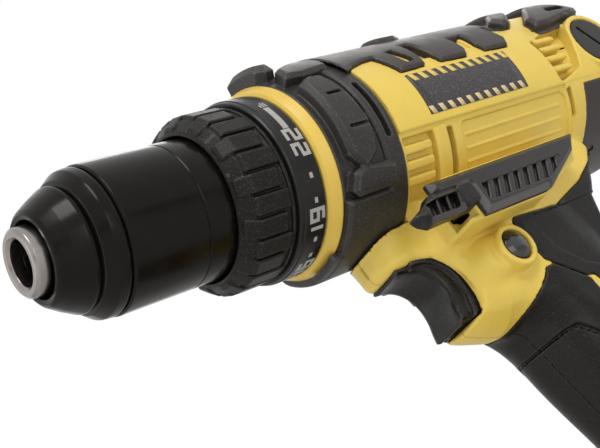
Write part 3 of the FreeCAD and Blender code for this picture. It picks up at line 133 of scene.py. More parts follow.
def cmax(a, b, c):
    """Intersection of two fields, its edge chamfered by c."""
    return np.maximum(np.maximum(a, b), (a + b + c) * math.sqrt(0.5))


def union(*fields):
    """Union of fields, with sharp inner corners."""
    return reduce(np.minimum, fields)


def cut(a, b, r):
    """Field a without field b, the edge rounded by r."""
    return rmax(a, -b, r)


def slab(v, lo, hi):
    """Where v lies between two values."""
    return np.maximum(lo - v, v - hi)


def block(u, lo_u, hi_u, v, lo_v, hi_v, r):
    """Where u and v each lie between two values, the corners rounded by r."""
    return rmax(slab(u, lo_u, hi_u), slab(v, lo_v, hi_v), r)


def around(s, z, centre):
    """Distance from a line along y."""
    return np.hypot(s - centre[0], z - centre[1])


def side_arc(y, z, radius):
    """Arc length on a barrel of this radius, up from the side's middle."""
    return np.arctan2(z, np.abs(y)) * radius


def ease(t):
    """A smooth step from 0 to 1."""
    t = np.clip(t, 0, 1)
    return t * t * (3 - 2 * t)


def rect(u, v, centre_u, centre_v, half_u, half_v, r):
    """A rectangle with rounded corners."""
    qu = np.abs(u - centre_u) - half_u + r
    qv = np.abs(v - centre_v) - half_v + r
    return np.hypot(np.maximum(qu, 0), np.maximum(qv, 0)) + np.minimum(np.maximum(qu, qv), 0) - r


def polygon(u, v, points, r=0):
    """Signed distance to a polygon, below zero inside, its corners rounded by r."""
    corners = inset(points, r) if r else points
    shape = np.broadcast_shapes(np.shape(u), np.shape(v))
    best = np.full(shape, 1e9, np.float32)
    inside = np.zeros(shape, bool)
    for (au, av), (bu, bv) in zip(corners[-1:] + corners[:-1], corners):
        eu, ev = bu - au, bv - av
        t = np.clip(((u - au) * eu + (v - av) * ev) / (eu * eu + ev * ev), 0, 1)
        best = np.minimum(best, (u - au - eu * t) ** 2 + (v - av - ev * t) ** 2)
        if av != bv:
            inside ^= ((av > v) != (bv > v)) & (u < eu * (v - av) / ev + au)
    distance = np.sqrt(best)
    return np.where(inside, -distance, distance) - r


def inset(points, r):
    """A polygon's corners moved inward by r."""
    area = sum(a[0] * b[1] - b[0] * a[1] for a, b in zip(points, points[1:] + points[:1]))
    turn = 1 if area > 0 else -1
    moved = []
    for before, here, after in zip(points[-1:] + points[:-1], points, points[1:] + points[:1]):
        du, dv = mitre(inward(before, here, turn), inward(here, after, turn), r)
        moved.append((here[0] + du, here[1] + dv))
    return moved


def mitre(n1, n2, r):
    """How far a corner moves when both its edges move by r along their normals."""
    share = r / (1 + n1[0] * n2[0] + n1[1] * n2[1])
    return (n1[0] + n2[0]) * share, (n1[1] + n2[1]) * share


def inward(a, b, turn):
    """The unit normal of the edge from a to b, on its left if turn is 1."""
    du, dv = b[0] - a[0], b[1] - a[1]
    length = math.hypot(du, dv)
    return (-dv / length * turn, du / length * turn)


def curve_through(points, steps=4):
    """Points along a smooth line through the given ones."""
    line = []
    padded = [points[0]] + points + [points[-1]]
    for p0, p1, p2, p3 in zip(padded, padded[1:], padded[2:], padded[3:]):
        for k in range(steps):
            t = k / steps
            line.append(tuple(0.5 * (2 * b + (c - a) * t + (2 * a - 5 * b + 4 * c - d) * t * t
                                     + (3 * b - a - 3 * c + d) * t ** 3)
                              for a, b, c, d in zip(p0, p1, p2, p3)))
    return line + [points[-1]]


def axis(*stops):
    """Grid lines: positions and the steps between them, given in turn."""
    lines = [stops[0]]
    for start, step, end in zip(stops[0::2], stops[1::2], stops[2::2]):
        count = max(2, round((end - start) / step))
        lines.extend(start + (end - start) * (k + 1) / count for k in range(count))
    return np.array(lines, np.float32)


POOL = ThreadPoolExecutor(4)
CHUNKS = 24


def in_parts(work, rows):
    """The work done on groups of rows side by side, and put together in order."""
    return np.concatenate(list(POOL.map(work, np.array_split(rows, CHUNKS))))


def grid_values(field, s_axis, y_axis, z_axis):
    def slice_values(part):
        values = field(part[:, None, None], y_axis[None, :, None], z_axis[None, None, :])
        return np.broadcast_to(values, (len(part), len(y_axis), len(z_axis)))
    return in_parts(slice_values, s_axis)


def point_values(field, points):
    return in_parts(lambda part: field(*part.T), points)


def mesh_field(field, s_axis, y_axis, z_axis):
    """The zero surface of a field: points, triangles, quads and normals, in millimetres."""
    values = np.clip(grid_values(field, s_axis, y_axis, z_axis), -9.0, 9.0).astype(np.float32)
    grid = openvdb.FloatGrid(9.0)
    grid.copyFromArray(np.ascontiguousarray(values))
    index, triangles, quads = grid.convertToPolygons(isovalue=0.0, adaptivity=0.0)
    points = np.stack([np.interp(index[:, k], np.arange(len(lines)), lines)
                       for k, lines in enumerate((s_axis, y_axis, z_axis))], 1)
    points = points.astype(np.float32)
    sample = quads[:2000]
    side = np.cross(points[sample[:, 1]] - points[sample[:, 0]], points[sample[:, 2]] - points[sample[:, 0]])
    _, slope = value_and_slope(field, points[sample[:, 0]])
    if (side * slope).sum() < 0:
        triangles, quads = triangles[:, ::-1], quads[:, ::-1]
    value, slope = value_and_slope(field, points)
    size = np.maximum((slope ** 2).sum(1), 0.2)
    points -= slope * (np.clip(value, -0.4, 0.4) / size)[:, None]
    value, slope = value_and_slope(field, points)
    normals = slope / np.maximum(np.linalg.norm(slope, axis=1), 1e-6)[:, None]
    return points, triangles, quads, normals


CORNERS = np.array([(1, -1, -1), (-1, -1, 1), (-1, 1, -1), (1, 1, 1)], np.float32)


def value_and_slope(field, points, step=0.1):
    """A field and its gradient, from its values at a small tetrahedron's corners round each point."""
    value, slope = 0, 0
    for corner in CORNERS:
        here = point_values(field, points + corner * step)
        value = value + here / 4
        slope = slope + here[:, None] * corner / (4 * step)
    return value, slope


# ---- pieces

def new_object(name, points, faces, finish, normals=None):
    """A mesh piece from points in drawing millimetres."""
    mesh = bpy.data.meshes.new(name)
    placed = np.asarray(points, float) * MM + np.array([AXIS_X, 0, AXIS_Z])
    mesh.from_pydata(placed.tolist(), [], faces)
    mesh.polygons.foreach_set("use_smooth", [True] * len(mesh.polygons))
    if normals is not None:
        mesh.normals_split_custom_set_from_vertices(normals.tolist())
    obj = bpy.data.objects.new(name, mesh)
    bpy.context.scene.collection.objects.link(obj)
    mesh.materials.append(FINISHES[finish])
    return obj


def settle(obj, body, slot, *nodes):
    """Puts a piece on its body, and hides the CAD nodes that it stands for. The slot is not used."""
    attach(obj, body)
    if nodes:
        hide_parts(*nodes)


def field_piece(name, field, axes, finish, body, slot, node):
    points, triangles, quads, normals = mesh_field(field, *axes)
    faces = triangles.tolist() + quads.tolist()
    settle(new_object(name, points, faces, finish, normals), body, slot, node)


SIDES = (("left", 1), ("right", -1))


def field_pair(name, fields, axes, finish, slot, node, suffix=True):
    """The housing's pieces on the left and on the right: one field and its mirror image, or a field for each.

    The node's name takes _left and _right, if suffix says so.
    """
    surfaces = [mesh_field(field, *axes) for field in fields]
    for (word, sign), surface in zip(SIDES, (surfaces[0], surfaces[-1])):
        obj = mirrored(f"{name}_{word}", surface, sign, finish)
        settle(obj, "housing", slot, f"{node}_{word}" if suffix else node)


def mirrored(name, surface, sign, finish):
    """A meshed surface as built, or with sign -1 mirrored to the drill's right side."""
    points, triangles, quads, normals = surface
    flip = np.array([1, sign, 1])
    faces = triangles[:, ::sign].tolist() + quads[:, ::sign].tolist()
    return new_object(name, points * flip, faces, finish, None if normals is None else normals * flip)


def rounded_profile(corners, steps=5):
    """A closed outline of (u, v, radius) corners, each turned into an arc of that radius."""
    outline = []
    count = len(corners)
    for k, (u, v, r) in enumerate(corners):
        here = Vector((u, v))
        back = Vector(corners[k - 1][:2]) - here
        ahead = Vector(corners[(k + 1) % count][:2]) - here
        if r <= 0:
            outline.append((u, v))
            continue
        half_angle = back.angle(ahead) / 2
        reach = min(r / math.tan(half_angle), 0.49 * back.length, 0.49 * ahead.length)
        start = here + back.normalized() * reach
        end = here + ahead.normalized() * reach
        for i in range(steps + 1):
            t = i / steps
            outline.append(tuple(start * (1 - t) ** 2 + here * 2 * t * (1 - t) + end * t * t))
    return outline


def lathe(name, corners, finish, body, slot, *nodes, segments=192, centre=None):
    """A ring turned about the drill's axis, or about a line along y through centre (s, z)."""
    outline = np.array(rounded_profile(corners))
    angles = np.arange(segments) * 2 * math.pi / segments
    along, radius = outline[:, 0][:, None], outline[:, 1][:, None]
    if centre is None:
        rows = np.broadcast_arrays(along, -radius * np.cos(angles), radius * np.sin(angles))
    else:
        rows = np.broadcast_arrays(centre[0] + radius * np.cos(angles), along,
                                   centre[1] + radius * np.sin(angles))
    points = np.stack(rows, -1).reshape(-1, 3)
    count = len(outline)
    faces = []
    for i in range(count):
        for j in range(segments):
            k = (j + 1) % segments
            nxt = (i + 1) % count
            faces.append((i * segments + j, nxt * segments + j, nxt * segments + k, i * segments + k))
    obj = new_object(name, points, faces, finish)
    tidy_normals(obj)
    settle(obj, body, slot, *nodes)


def tidy_normals(obj, degrees=38):
    """Joins doubled points, turns the faces outward, and keeps edges over the given angle sharp."""
    work = bmesh.new()
    work.from_mesh(obj.data)
    bmesh.ops.remove_doubles(work, verts=work.verts, dist=2e-6)
    bmesh.ops.dissolve_degenerate(work, edges=work.edges, dist=1e-7)
    bmesh.ops.recalc_face_normals(work, faces=work.faces)
    work.to_mesh(obj.data)
    work.free()
    obj.data.polygons.foreach_set("use_smooth", [True] * len(obj.data.polygons))
    obj.data.set_sharp_from_angle(angle=math.radians(degrees))


# ---- finishes

FINISHES = {}
RELIEF = 0.12


def link(tree, a, out, b, into):
    tree.links.new(a.outputs[out], b.inputs[into])


def new_node(tree, kind, **values):
    """A shader node with its inputs set by name. An underscore stands for a space."""
    node = tree.nodes.new("ShaderNode" + kind)
    for name, value in values.items():
        node.inputs[name.replace("_", " ")].default_value = value
    return node


def noise(tree, place, size, detail, stretch=None):
    """A noise texture whose features are about size millimetres across."""
    node = new_node(tree, "TexNoise", Scale=1 / (size * MM), Detail=detail)
    if stretch:
        mapping = new_node(tree, "Mapping", Scale=stretch)
        link(tree, place, "Object", mapping, "Vector")
        link(tree, mapping, "Vector", node, "Vector")
    else:
        link(tree, place, "Object", node, "Vector")
    return node


def ranged(tree, node, out, low_in, high_in, low_out, high_out):
    """A node's value, taken from one range to another."""
    ramp = new_node(tree, "MapRange", From_Min=low_in, From_Max=high_in, To_Min=low_out, To_Max=high_out)
    link(tree, node, out, ramp, "Value")
    return ramp


COLOUR_INPUTS = (6, 7)
COLOUR_OUTPUT = 2


def mixed(tree, factor, first, second):
    """A colour between two: each is a plain colour or another mix."""
    node = new_node(tree, "Mix")
    node.data_type = "RGBA"
    link(tree, factor, "Result", node, "Factor")
    for key, value in zip(COLOUR_INPUTS, (first, second)):
        if isinstance(value, bpy.types.Node):
            link(tree, value, COLOUR_OUTPUT, node, key)
        else:
            node.inputs[key].default_value = (*value, 1)
    return node


def scaled(colour, factor):
    return tuple(min(1, c * factor) for c in colour)


MOTTLE_SIZE = 9


def finish(name, colour, roughness, grain, bump, specular=0.5, mottle=0.08, edge_wear_and_highlight=0, grain_glints=0,
           metallic=0, stretch=None):
    """A moulded or machined surface: mottled colour, grain in millimetres, uneven gloss, light specks that
    are a painted highlight on the grain, and edges lightened for wear and for a painted edge highlight.
    """
    made = bpy.data.materials.new(name)
    made.use_nodes = True
    tree = made.node_tree
    shader = tree.nodes["Principled BSDF"]
    place = new_node(tree, "TexCoord")
    broad = noise(tree, place, MOTTLE_SIZE, 4)
    fine = noise(tree, place, grain, 3, stretch)
    patches = ranged(tree, broad, "Fac", 0.3, 0.7, 0, 1)
    tint = mixed(tree, patches, scaled(colour, 1 - mottle), scaled(colour, 1 + mottle))
    # Light specks on the grain's tips: a painted highlight, not a colour of the plastic.
    if grain_glints:
        grain_glint_mask = ranged(tree, fine, "Fac", 0.56, 0.74, 0, grain_glints)
        tint = mixed(tree, grain_glint_mask, tint, scaled(tuple(c + 0.05 for c in colour), 2.2))
    # Convex edges lightened by pointiness: partly real wear, partly a painted edge highlight.
    if edge_wear_and_highlight:
        shape = new_node(tree, "NewGeometry")
        worn_and_highlit_edges = ranged(tree, shape, "Pointiness", 0.515, 0.6, 0, edge_wear_and_highlight)
        tint = mixed(tree, worn_and_highlit_edges, tint, scaled(tuple(c + 0.03 for c in colour), 2.6))
    link(tree, tint, COLOUR_OUTPUT, shader, "Base Color")
    gloss = ranged(tree, broad, "Fac", 0.25, 0.75, max(0.05, roughness - 0.07), min(1, roughness + 0.07))
    link(tree, gloss, "Result", shader, "Roughness")
    relief = new_node(tree, "Bump", Strength=bump, Distance=RELIEF * MM)
    link(tree, fine, "Fac", relief, "Height")
    link(tree, relief, "Normal", shader, "Normal")
    shader.inputs["Metallic"].default_value = metallic
    shader.inputs["Specular IOR Level"].default_value = specular
    made.diffuse_color = (*colour, 1)
    FINISHES[name] = made
    return made


def make_finishes():
    """Each finish: name, colour, roughness, grain and bump, then specular, mottle, edge wear with a painted
    edge highlight, and specks of painted grain highlight.
    """
    finish("yellow_shell", (0.68, 0.5, 0.088), 0.4, 0.35, 0.12, 0.4, 0.03)
    finish("yellow_ring", (0.62, 0.43, 0.07), 0.34, 0.35, 0.08, 0.4, 0.04)
    finish("collar_grain", (0.017, 0.015, 0.014), 0.46, 0.42, 0.7, 0.34, 0.08, 0.6, 0.5)
    finish("torque_grain", (0.006, 0.0054, 0.0048), 0.4, 0.4, 0.9, 0.17, 0.08, 0.35, 0.4)
    finish("overmould", (0.03, 0.025, 0.0238), 0.42, 0.4, 0.35, 0.26, 0.08, 0.5, 0.2)
    finish("grip", (0.0058, 0.005, 0.0045), 0.4, 0.45, 0.35, 0.2, 0.08, 0.25, 0.2)
    finish("dial", (0.008, 0.008, 0.008), 0.32, 0.3, 0.08, 0.25)
    finish("sleeve", (0.0045, 0.0034, 0.0026), 0.2, 0.6, 0.05, 0.14, 0.2)
    finish("plug", (0.012, 0.0105, 0.01), 0.16, 0.35, 0.04, 0.7)
    finish("control", (0.0065, 0.0058, 0.0052), 0.28, 0.35, 0.3, 0.24, 0.08, 0.5, 0.3)
    finish("rail", (0.016, 0.0142, 0.0134), 0.36, 0.35, 0.35, 0.32, 0.08, 0.6, 0.3)
    finish("pack", (0.009, 0.0085, 0.008), 0.46, 0.5, 0.5, 0.3, 0.08, 0.4, 0.2)
    finish("steel", (0.29, 0.265, 0.25), 0.24, 0.5, 0.1, metallic=1, stretch=(1, 0.15, 0.15))
    finish("print_grey", (0.34, 0.33, 0.32), 0.5, 0.3, 0.05, 0.3, 0.05)
    finish("label_dark", (0.03, 0.028, 0.03), 0.35, 0.4, 0.3, 0.3, 0.1, 0, 1)
    finish("label_yellow", (0.66, 0.49, 0.11), 0.4, 0.35, 0.2, 0.5, 0.04)
    finish("label_pale", (0.6, 0.48, 0.24), 0.45, 0.35, 0.2, 0.5, 0.06)
    finish("gear_metal", (0.4, 0.39, 0.38), 0.32, 0.4, 0.1, metallic=1)
    finish("cast_metal", (0.52, 0.52, 0.53), 0.45, 0.6, 0.3, metallic=1)
    finish("can_metal", (0.45, 0.45, 0.46), 0.34, 0.5, 0.1, metallic=1)
    finish("magnet", (0.09, 0.09, 0.1), 0.6, 0.4, 0.3)
    finish("copper_metal", (0.72, 0.36, 0.2), 0.3, 0.4, 0.1, metallic=1)
    finish("carbon", (0.02, 0.02, 0.02), 0.7, 0.3, 0.3)
    finish("brass_metal", (0.66, 0.5, 0.22), 0.3, 0.4, 0.1, metallic=1)
    finish("inner_black", (0.025, 0.025, 0.026), 0.5, 0.4, 0.2)
    finish("cell_wrap", (0.12, 0.24, 0.3), 0.35, 0.5, 0.1)


SLOT_FINISH = {
    "housing_yellow": "yellow_shell", "trim_yellow": "yellow_ring", "grip_rubber": "grip",
    "collar_black": "collar_grain", "dial_black": "dial", "sleeve_black": "sleeve",
    "control_black": "control", "pack_black": "pack", "chuck_steel": "steel", "gear_steel": "gear_metal",
    "case_aluminium": "cast_metal", "can_steel": "can_metal", "magnet_grey": "magnet",
    "core_steel": "gear_metal", "copper": "copper_metal", "brush_carbon": "carbon",
    "brass": "brass_metal", "inner_plastic": "inner_black", "cell_metal": "cell_wrap",
}


def finish_cad_nodes():
    """Gives each CAD node the finish of its slot, which its material is named after."""
    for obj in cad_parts.values():
        for holder in obj.material_slots:
            holder.material = FINISHES[SLOT_FINISH[holder.material.name.split(".")[0]]]


# ---- chuck

CHUCK = ("chuck_sleeve_set", "sleeve_black")


def chuck():
    """The steel nose, and the black sleeve in three parts: nose cone, bulge ring and sleeve."""
    cone_front, cone_rear = span("chuck_nose_cone", "s")
    ring_front, ring_rear = span("chuck_bulge_ring", "s")
    sleeve_front, sleeve_rear = span("chuck_sleeve", "s")
    cone_radius = high("chuck_nose_cone", "z")
    ring_radius = high("chuck_bulge_ring", "z")
    sleeve_radius = high("chuck_sleeve", "z")
    lathe("nose_cone", [
        (cone_front + 0.3, 10.9, 0.3), (cone_front, 12.3, 0.7), (cone_front + 0.9, 13.4, 0.8),
        (cone_front + 4.4, 15.6, 3), (cone_rear - 1.4, cone_radius, 1.6), (cone_rear, cone_radius - 0.3, 0.3),
        (cone_rear, 14.2, 0.3), (cone_front + 4, 12, 0.3), (cone_front + 2.2, 10.9, 0.3),
    ], "sleeve", *CHUCK, "chuck_nose_cone")
    lathe("bulge_ring", [
        (ring_front, 14.4, 0.2), (ring_front, cone_radius - 0.6, 0.2),
        (ring_front + 0.5, cone_radius + 0.9, 0.6), (ring_front + 3.4, ring_radius - 0.3, 1.6),
        (ring_rear - 1.2, ring_radius, 1), (ring_rear, ring_radius - 0.5, 0.3), (ring_rear, 17, 0.2),
    ], "sleeve", *CHUCK, "chuck_bulge_ring")
    lathe("rear_sleeve", [
        (sleeve_front, 18.4, 0.2), (sleeve_front, sleeve_radius - 0.5, 0.3),
        (sleeve_front + 0.6, sleeve_radius, 0.5), (sleeve_rear - 11.6, sleeve_radius, 0.4),
        (sleeve_rear - 11.2, sleeve_radius - 0.25, 0.2), (sleeve_rear - 10.8, sleeve_radius, 0.4),
        (sleeve_rear - 0.9, sleeve_radius, 0.8), (sleeve_rear, sleeve_radius - 0.9, 0.4),
        (sleeve_rear, 18.4, 0.2),
    ], "sleeve", *CHUCK, "chuck_sleeve")
    nose_radius = 9.6
    lathe("steel_nose", [
        (0, 7.3, 0.2), (0, nose_radius - 0.9, 0.3), (0.8, nose_radius, 0.4), (6.5, nose_radius, 0.4),
        (7, 10.6, 0.3), (12, 12.2, 0.5), (18, 13.5, 0.5), (45, 13.5, 0.3), (45, 16.4, 0.4),
        (53.4, 16.4, 0.5), (53.4, 7, 0.3), (30, 6.6, 0.2), (4.6, 6.6, 0.2), (4.4, 6.45, 0.2),
        (0.9, 6.45, 0.3),
    ], "steel", "chuck", "chuck_steel", "chuck_body")


# ---- torque collar and dial

PAD_STEP = 360 / 26


def torque_collar_field(s, y, z):
    """The ribbed collar, with staggered flat-topped pads between its rims."""
    r = np.hypot(y, z)
    phi = np.degrees(np.arctan2(z, -y)) - 5.5
    front, rear = span("torque_collar", "s")
    band = low("torque_dial", "s") - 0.3
    outside = r - 26.1 + np.clip(front + 3.2 - s, 0, 3.2) * 0.95
    body = rmax(outside, slab(s, front, band), 0.5)
    number = np.round(phi / PAD_STEP)
    shift = np.where(np.mod(number, 2) > 0.5, 1.6, -1.4)
    away = np.radians(phi - number * PAD_STEP)
    across, up = r * np.sin(away), r * np.cos(away)
    crown = up - 27.4 + np.clip(front + 4.6 - s, 0, 4.6) * 0.7
    sides = cmax(np.abs(across) - 2.75, crown, 0.4)
    pad = cmax(sides, slab(s, front + 1.9 + shift, front + 15.2 + shift * 0.6), 0.5)
    rim = rmax(r - 27.2, slab(s, band - 1.3, band), 0.4)
    body = rmin(rmin(body, pad, 0.2), rim, 0.3)
    sleeve = rmax(r - 26.35, slab(s, band - 2, rear - 0.1), 0.3)
    body = np.minimum(body, sleeve)
    inner = np.where(s < 62, 22.15, np.where(s < 77.5, 21.6, 23.2)) - r
    return rmax(body, inner, 0.3)


def torque_setting():
    field_piece("torque_grip_collar", torque_collar_field,
                (axis(53.6, 0.42, 83.6), axis(-29.2, 0.42, 29.2), axis(-29.2, 0.42, 29.2)),
                "torque_grain", "torque_setting", "collar_black", "torque_collar")
    front, rear = span("torque_dial", "s")
    radius = high("torque_dial", "z")
    lathe("number_dial", [
        (front, radius - 2.3, 0.1), (front, radius - 0.7, 0.3), (front + 0.7, radius - 0.35, 0.3),
        (front + 1.6, radius - 0.35, 0.2), (front + 1.9, radius, 0.2), (rear - 0.5, radius, 0.3),
        (rear, radius - 0.4, 0.2), (rear, radius - 2.3, 0.1),
    ], "dial", "torque_setting", "dial_black", "torque_dial", segments=200)
    dial_marks(radius)


STROKES = {
    "0": [[(0, 0), (1, 0), (1, 1.5), (0, 1.5), (0, -0.01)]],
    "1": [[(0.5, 0), (0.5, 1.5)]],
    "2": [[(0, 1.5), (1, 1.5), (1, 0.8), (0, 0.7), (0, 0), (1, 0)]],
    "3": [[(0, 1.5), (1, 1.5), (1, 0), (0, 0)], [(0.2, 0.75), (1, 0.75)]],
    "4": [[(0, 1.5), (0, 0.6), (1, 0.6)], [(0.8, 1.5), (0.8, 0)]],
    "6": [[(0.95, 1.5), (0, 1.5), (0, 0), (1, 0), (1, 0.8), (0, 0.8)]],
    "7": [[(0, 1.5), (1, 1.5), (0.4, 0)]],
    "9": [[(0.05, 0), (1, 0), (1, 1.5), (0, 1.5), (0, 0.7), (1, 0.7)]],
}
DIGIT_WIDTH = 3.3
DIGIT_HEIGHT = 4.9
STROKE = 1.15
MARK_RISE = 0.05
MARK_ROOT = -0.15


def ribbon(points, width):
    """Quads along a line of strokes, with square ends and mitred corners, cut fine enough to bend."""
    line = []
    for a, b in zip(points, points[1:]):
        pieces = max(1, round(math.dist(a, b) / 0.9))
        line.extend((a[0] + (b[0] - a[0]) * k / pieces, a[1] + (b[1] - a[1]) * k / pieces)
                    for k in range(pieces))
    line.append(points[-1])
    left, right = [], []
    for before, here, after in zip(line[:1] + line[:-1], line, line[1:] + line[-1:]):
        n1 = inward(before, here, 1) if before != here else inward(here, after, 1)
        n2 = inward(here, after, 1) if after != here else n1
        du, dv = mitre(n1, n2, width / 2)
        left.append((here[0] + du, here[1] + dv))
        right.append((here[0] - du, here[1] - dv))
    return left, right


def raised_strip(store, edges, bend):
    """Adds a ribbon to a mesh under way, as a raised strip with sides. bend puts (u, v, h) in the drawing."""
    points, faces = store
    base = len(points)
    left, right = edges
    count = len(left)
    for (lu, lv), (ru, rv) in zip(left, right):
        for u, v, h in ((lu, lv, MARK_ROOT), (lu, lv, MARK_RISE), (ru, rv, MARK_RISE), (ru, rv, MARK_ROOT)):
            points.append(bend(u, v, h))
    for k in range(count - 1):
        a, b = base + 4 * k, base + 4 * k + 4
        for side in range(3):
            faces.append((a + side, b + side, b + side + 1, a + side + 1))
        faces.append((a + 3, b + 3, b, a))
    faces.append((base, base + 1, base + 2, base + 3))
    end = base + 4 * (count - 1)
    faces.append((end + 3, end + 2, end + 1, end))


def on_ring(s0, phi0, radius):
    """A bend that lays flat figures on a ring: u runs up round the ring, v toward the nose."""
    def bend(u, v, h):
        angle = math.radians(phi0) + u / radius
        r = radius + h
        return (s0 - v, -r * math.cos(angle), r * math.sin(angle))
    return bend


def dial_figure(store, text, phi, radius, s0):
    """A number on the dial, centred on the angle phi."""
    widths = [DIGIT_WIDTH * (0.42 if digit == "1" else 1) for digit in text]
    gap = 1.1 + STROKE * 0.6
    total = sum(widths) + gap * (len(text) - 1)
    bend = on_ring(s0, phi, radius)
    u = -total / 2
    for digit, width in zip(text, widths):
        for stroke in STROKES[digit]:
            if digit == "1":
                placed = [(u + width / 2, y / 1.5 * DIGIT_HEIGHT) for _, y in stroke]
            else:
                placed = [(u + x * width, y / 1.5 * DIGIT_HEIGHT) for x, y in stroke]
            placed = [(a, b + STROKE / 2 - 0.35) if b < 1 else (a, b) for a, b in placed]
            raised_strip(store, ribbon(placed, STROKE), bend)
        u += width + gap


def dial_marks(radius):
    """Numbers every third stop with two dots between, and the drilling mark at the end of the scale."""
    store = ([], [])
    number_foot, dot_line = 81.2, 78.6
    stops = (("16", -91), ("19", -54), ("22", -6.5), ("13", -129), ("10", -167.5), ("7", -206),
             ("4", -244), ("1", -282))
    for text, phi in stops:
        dial_figure(store, text, phi, radius, number_foot)
    dots = [-27.5, -42, -66.5, -78.5] + [-103.7 - 12.8 * k for k in range(15) if k % 3 != 2]
    dot = ([(-0.8, -0.6), (-0.8, 0.6)], [(0.8, -0.6), (0.8, 0.6)])
    for phi in dots:
        raised_strip(store, dot, on_ring(dot_line, phi, radius))
    raised_strip(store, ribbon([(0, 0), (10, 0)], 2.1), on_ring(78.2, 3.5, radius))
    for v, reach in ((0, 2.6), (1, 2.6), (2, 1.4)):
        raised_strip(store, ribbon([(0, v), (reach, v)], 0.6), on_ring(79.4, 24.6, radius))
    obj = new_object("dial_numbers", store[0], store[1], "print_grey")
    obj.data.polygons.foreach_set("use_smooth", [False] * len(obj.data.polygons))
    settle(obj, "torque_setting", "dial_black")


# ---- trim ring and gear collar

def trim_ring():
    front, rear = span("trim_ring", "s")
    lathe("yellow_trim_ring", [
        (front, 23.2, 0.2), (front, 28.7, 0.4), (front + 0.7, 29.6, 0.5), (rear - 0.6, 31, 0.4),
        (rear, 30.8, 0.3), (rear, 23.2, 0.2),
    ], "yellow_ring", "housing", "trim_yellow", "trim_ring")


def gear_collar_field(s, y, z):
    """The fixed collar round the gearbox: stepped pads, notches, a slot and raised blocks on each side."""
    r = np.hypot(y, z)
    arc = side_arc(y, z, COLLAR_RADIUS)
    base = rmax(r - 30.9 - np.clip((s - 90) * 0.2, 0, 1.4), slab(s, 87.3, COLLAR_REAR), 0.5)
    band = cmax(r - COLLAR_RADIUS, slab(s, 104.4, COLLAR_REAR), 0.8)
    body = rmin(base, band, 0.4)
    pads = (
        (33.6, 0.8, [(87.3, -70), (87.3, -27.4), (112.4, -27.4), (112.4, -70)]),
        (35.3, 1.5, [(90.2, -14), (90.2, 13.6), (94.6, 16.4), (100, 15.4), (101.8, 5), (103.2, -5),
                     (101, -15.6), (95, -19.6)]),
        (34.9, 1.3, [(89, -24.6), (90.6, -19.4), (94.4, -17.6), (107.6, -19.6), (107.2, -26.6),
                     (91.2, -26.8)]),
        (35.5, 1.3, [(89, 18.6), (91.4, 26), (104, 34), (112, 34), (108, 19.6), (96, 17.8)]),
        (37, 2.2, [(87.5, 31), (91, 29), (95.4, 31), (97.6, 36), (97.6, 46), (87.5, 46)]),
    )
    for radius, bevel, outline in pads:
        body = rmin(body, cmax(polygon(s, arc, outline, 0.3), r - radius, bevel), 0.4)
    for notch in (5.9, -6.3):
        groove = rmax(rect(s, arc, 98.6, notch, 4.6, 0.55, 0.3), 33.4 - r, 0.1)
        body = cut(body, groove, 0.2)
    slot = rmax(rect(s, arc, 108.4, -1.5, 1.15, 10.6, 1), 31.4 - r, 0.1)
    body = cut(body, slot, 0.25)
    flange = rmax(rmax(r - 33.4, slab(s, 84.2, 92), 0.8), rmax(np.abs(y) - 6.5, z + 12, 0.5), 0.6)
    flange = rmax(flange, 31.3 - r, 0.2)
    body = rmin(body, flange, 0.5)
    bore = np.where(s < 91.4, 23.2 - r, 30.6 - r)
    return rmax(body, bore, 0.3)


def gear_collar():
    axes = (axis(81.4, 0.5, 113.4), axis(-37.6, 0.5, 37.6), axis(-38.6, 0.5, 38))
    field_piece("gearbox_collar", gear_collar_field, axes, "collar_grain", "housing", "collar_black",
                "gear_collar")


# ---- housing

ARCH = curve_through([(92.4, -40.4), (94, -42.6), (98, -43.2), (104, -43.2), (110.5, -43.8), (116.4, -47.4),
                      (119.8, -53.4), (120.2, -60), (118.6, -65.4), (115.4, -68)])
BRIDGE = [(112.4, -20), (96, -28), (92.6, -32), (92, -37.4)] + ARCH + [
    (113.6, -70), (113.6, -90), (172, -90), (176, -52), (184, -38), (196, -30)]
GUARD_LOW = [(60, -66), (110, -66.5), (115.4, -68.8), (121.5, -71.7), (128.5, -74.2), (150, -75.6),
             (210, -75.6), (210, 0), (60, 0)]
BELLY = [(117.4, -28.8), (117.4, -45.8), (154.6, -46.2), (178.5, -38.6), (184.6, -28.8)]
BELLY_RIGHT = [(118.6, -28.8), (124.8, -31.3), (129.5, -34), (132.5, -38), (135, -45.8), (154.6, -46.2),
               (178.5, -38.6), (184.6, -28.8)]
WEB_BODY = [(131, -44), (131, -68), (152, -84), (186, -84), (188, -70), (187, -58),
            (190, -48), (197, -40), (207, -30), (160, -20)]
FOOT = [(120.2, FOOT_LOW), (120.2, -143), (134, -137), (196, -137), (207.8, -143), (207.8, FOOT_LOW)]


def bridge_plan(s, ay, z):
    """Distance outside the bridge's width: a beak at the nose on top, and another one at the guard."""
    guard = ease((-z - 54) / 10)
    top = ease((z + 40) / 6)
    centre = 108 + 13 * guard
    length = 11 - 3 * guard
    half = 11 + top + 2.4 * guard + 3.5 * ease((s - centre) / 16)
    along = np.minimum(s - centre, 0) / length
    return (np.sqrt(along ** 2 + (ay / half) ** 2) - 1) * half


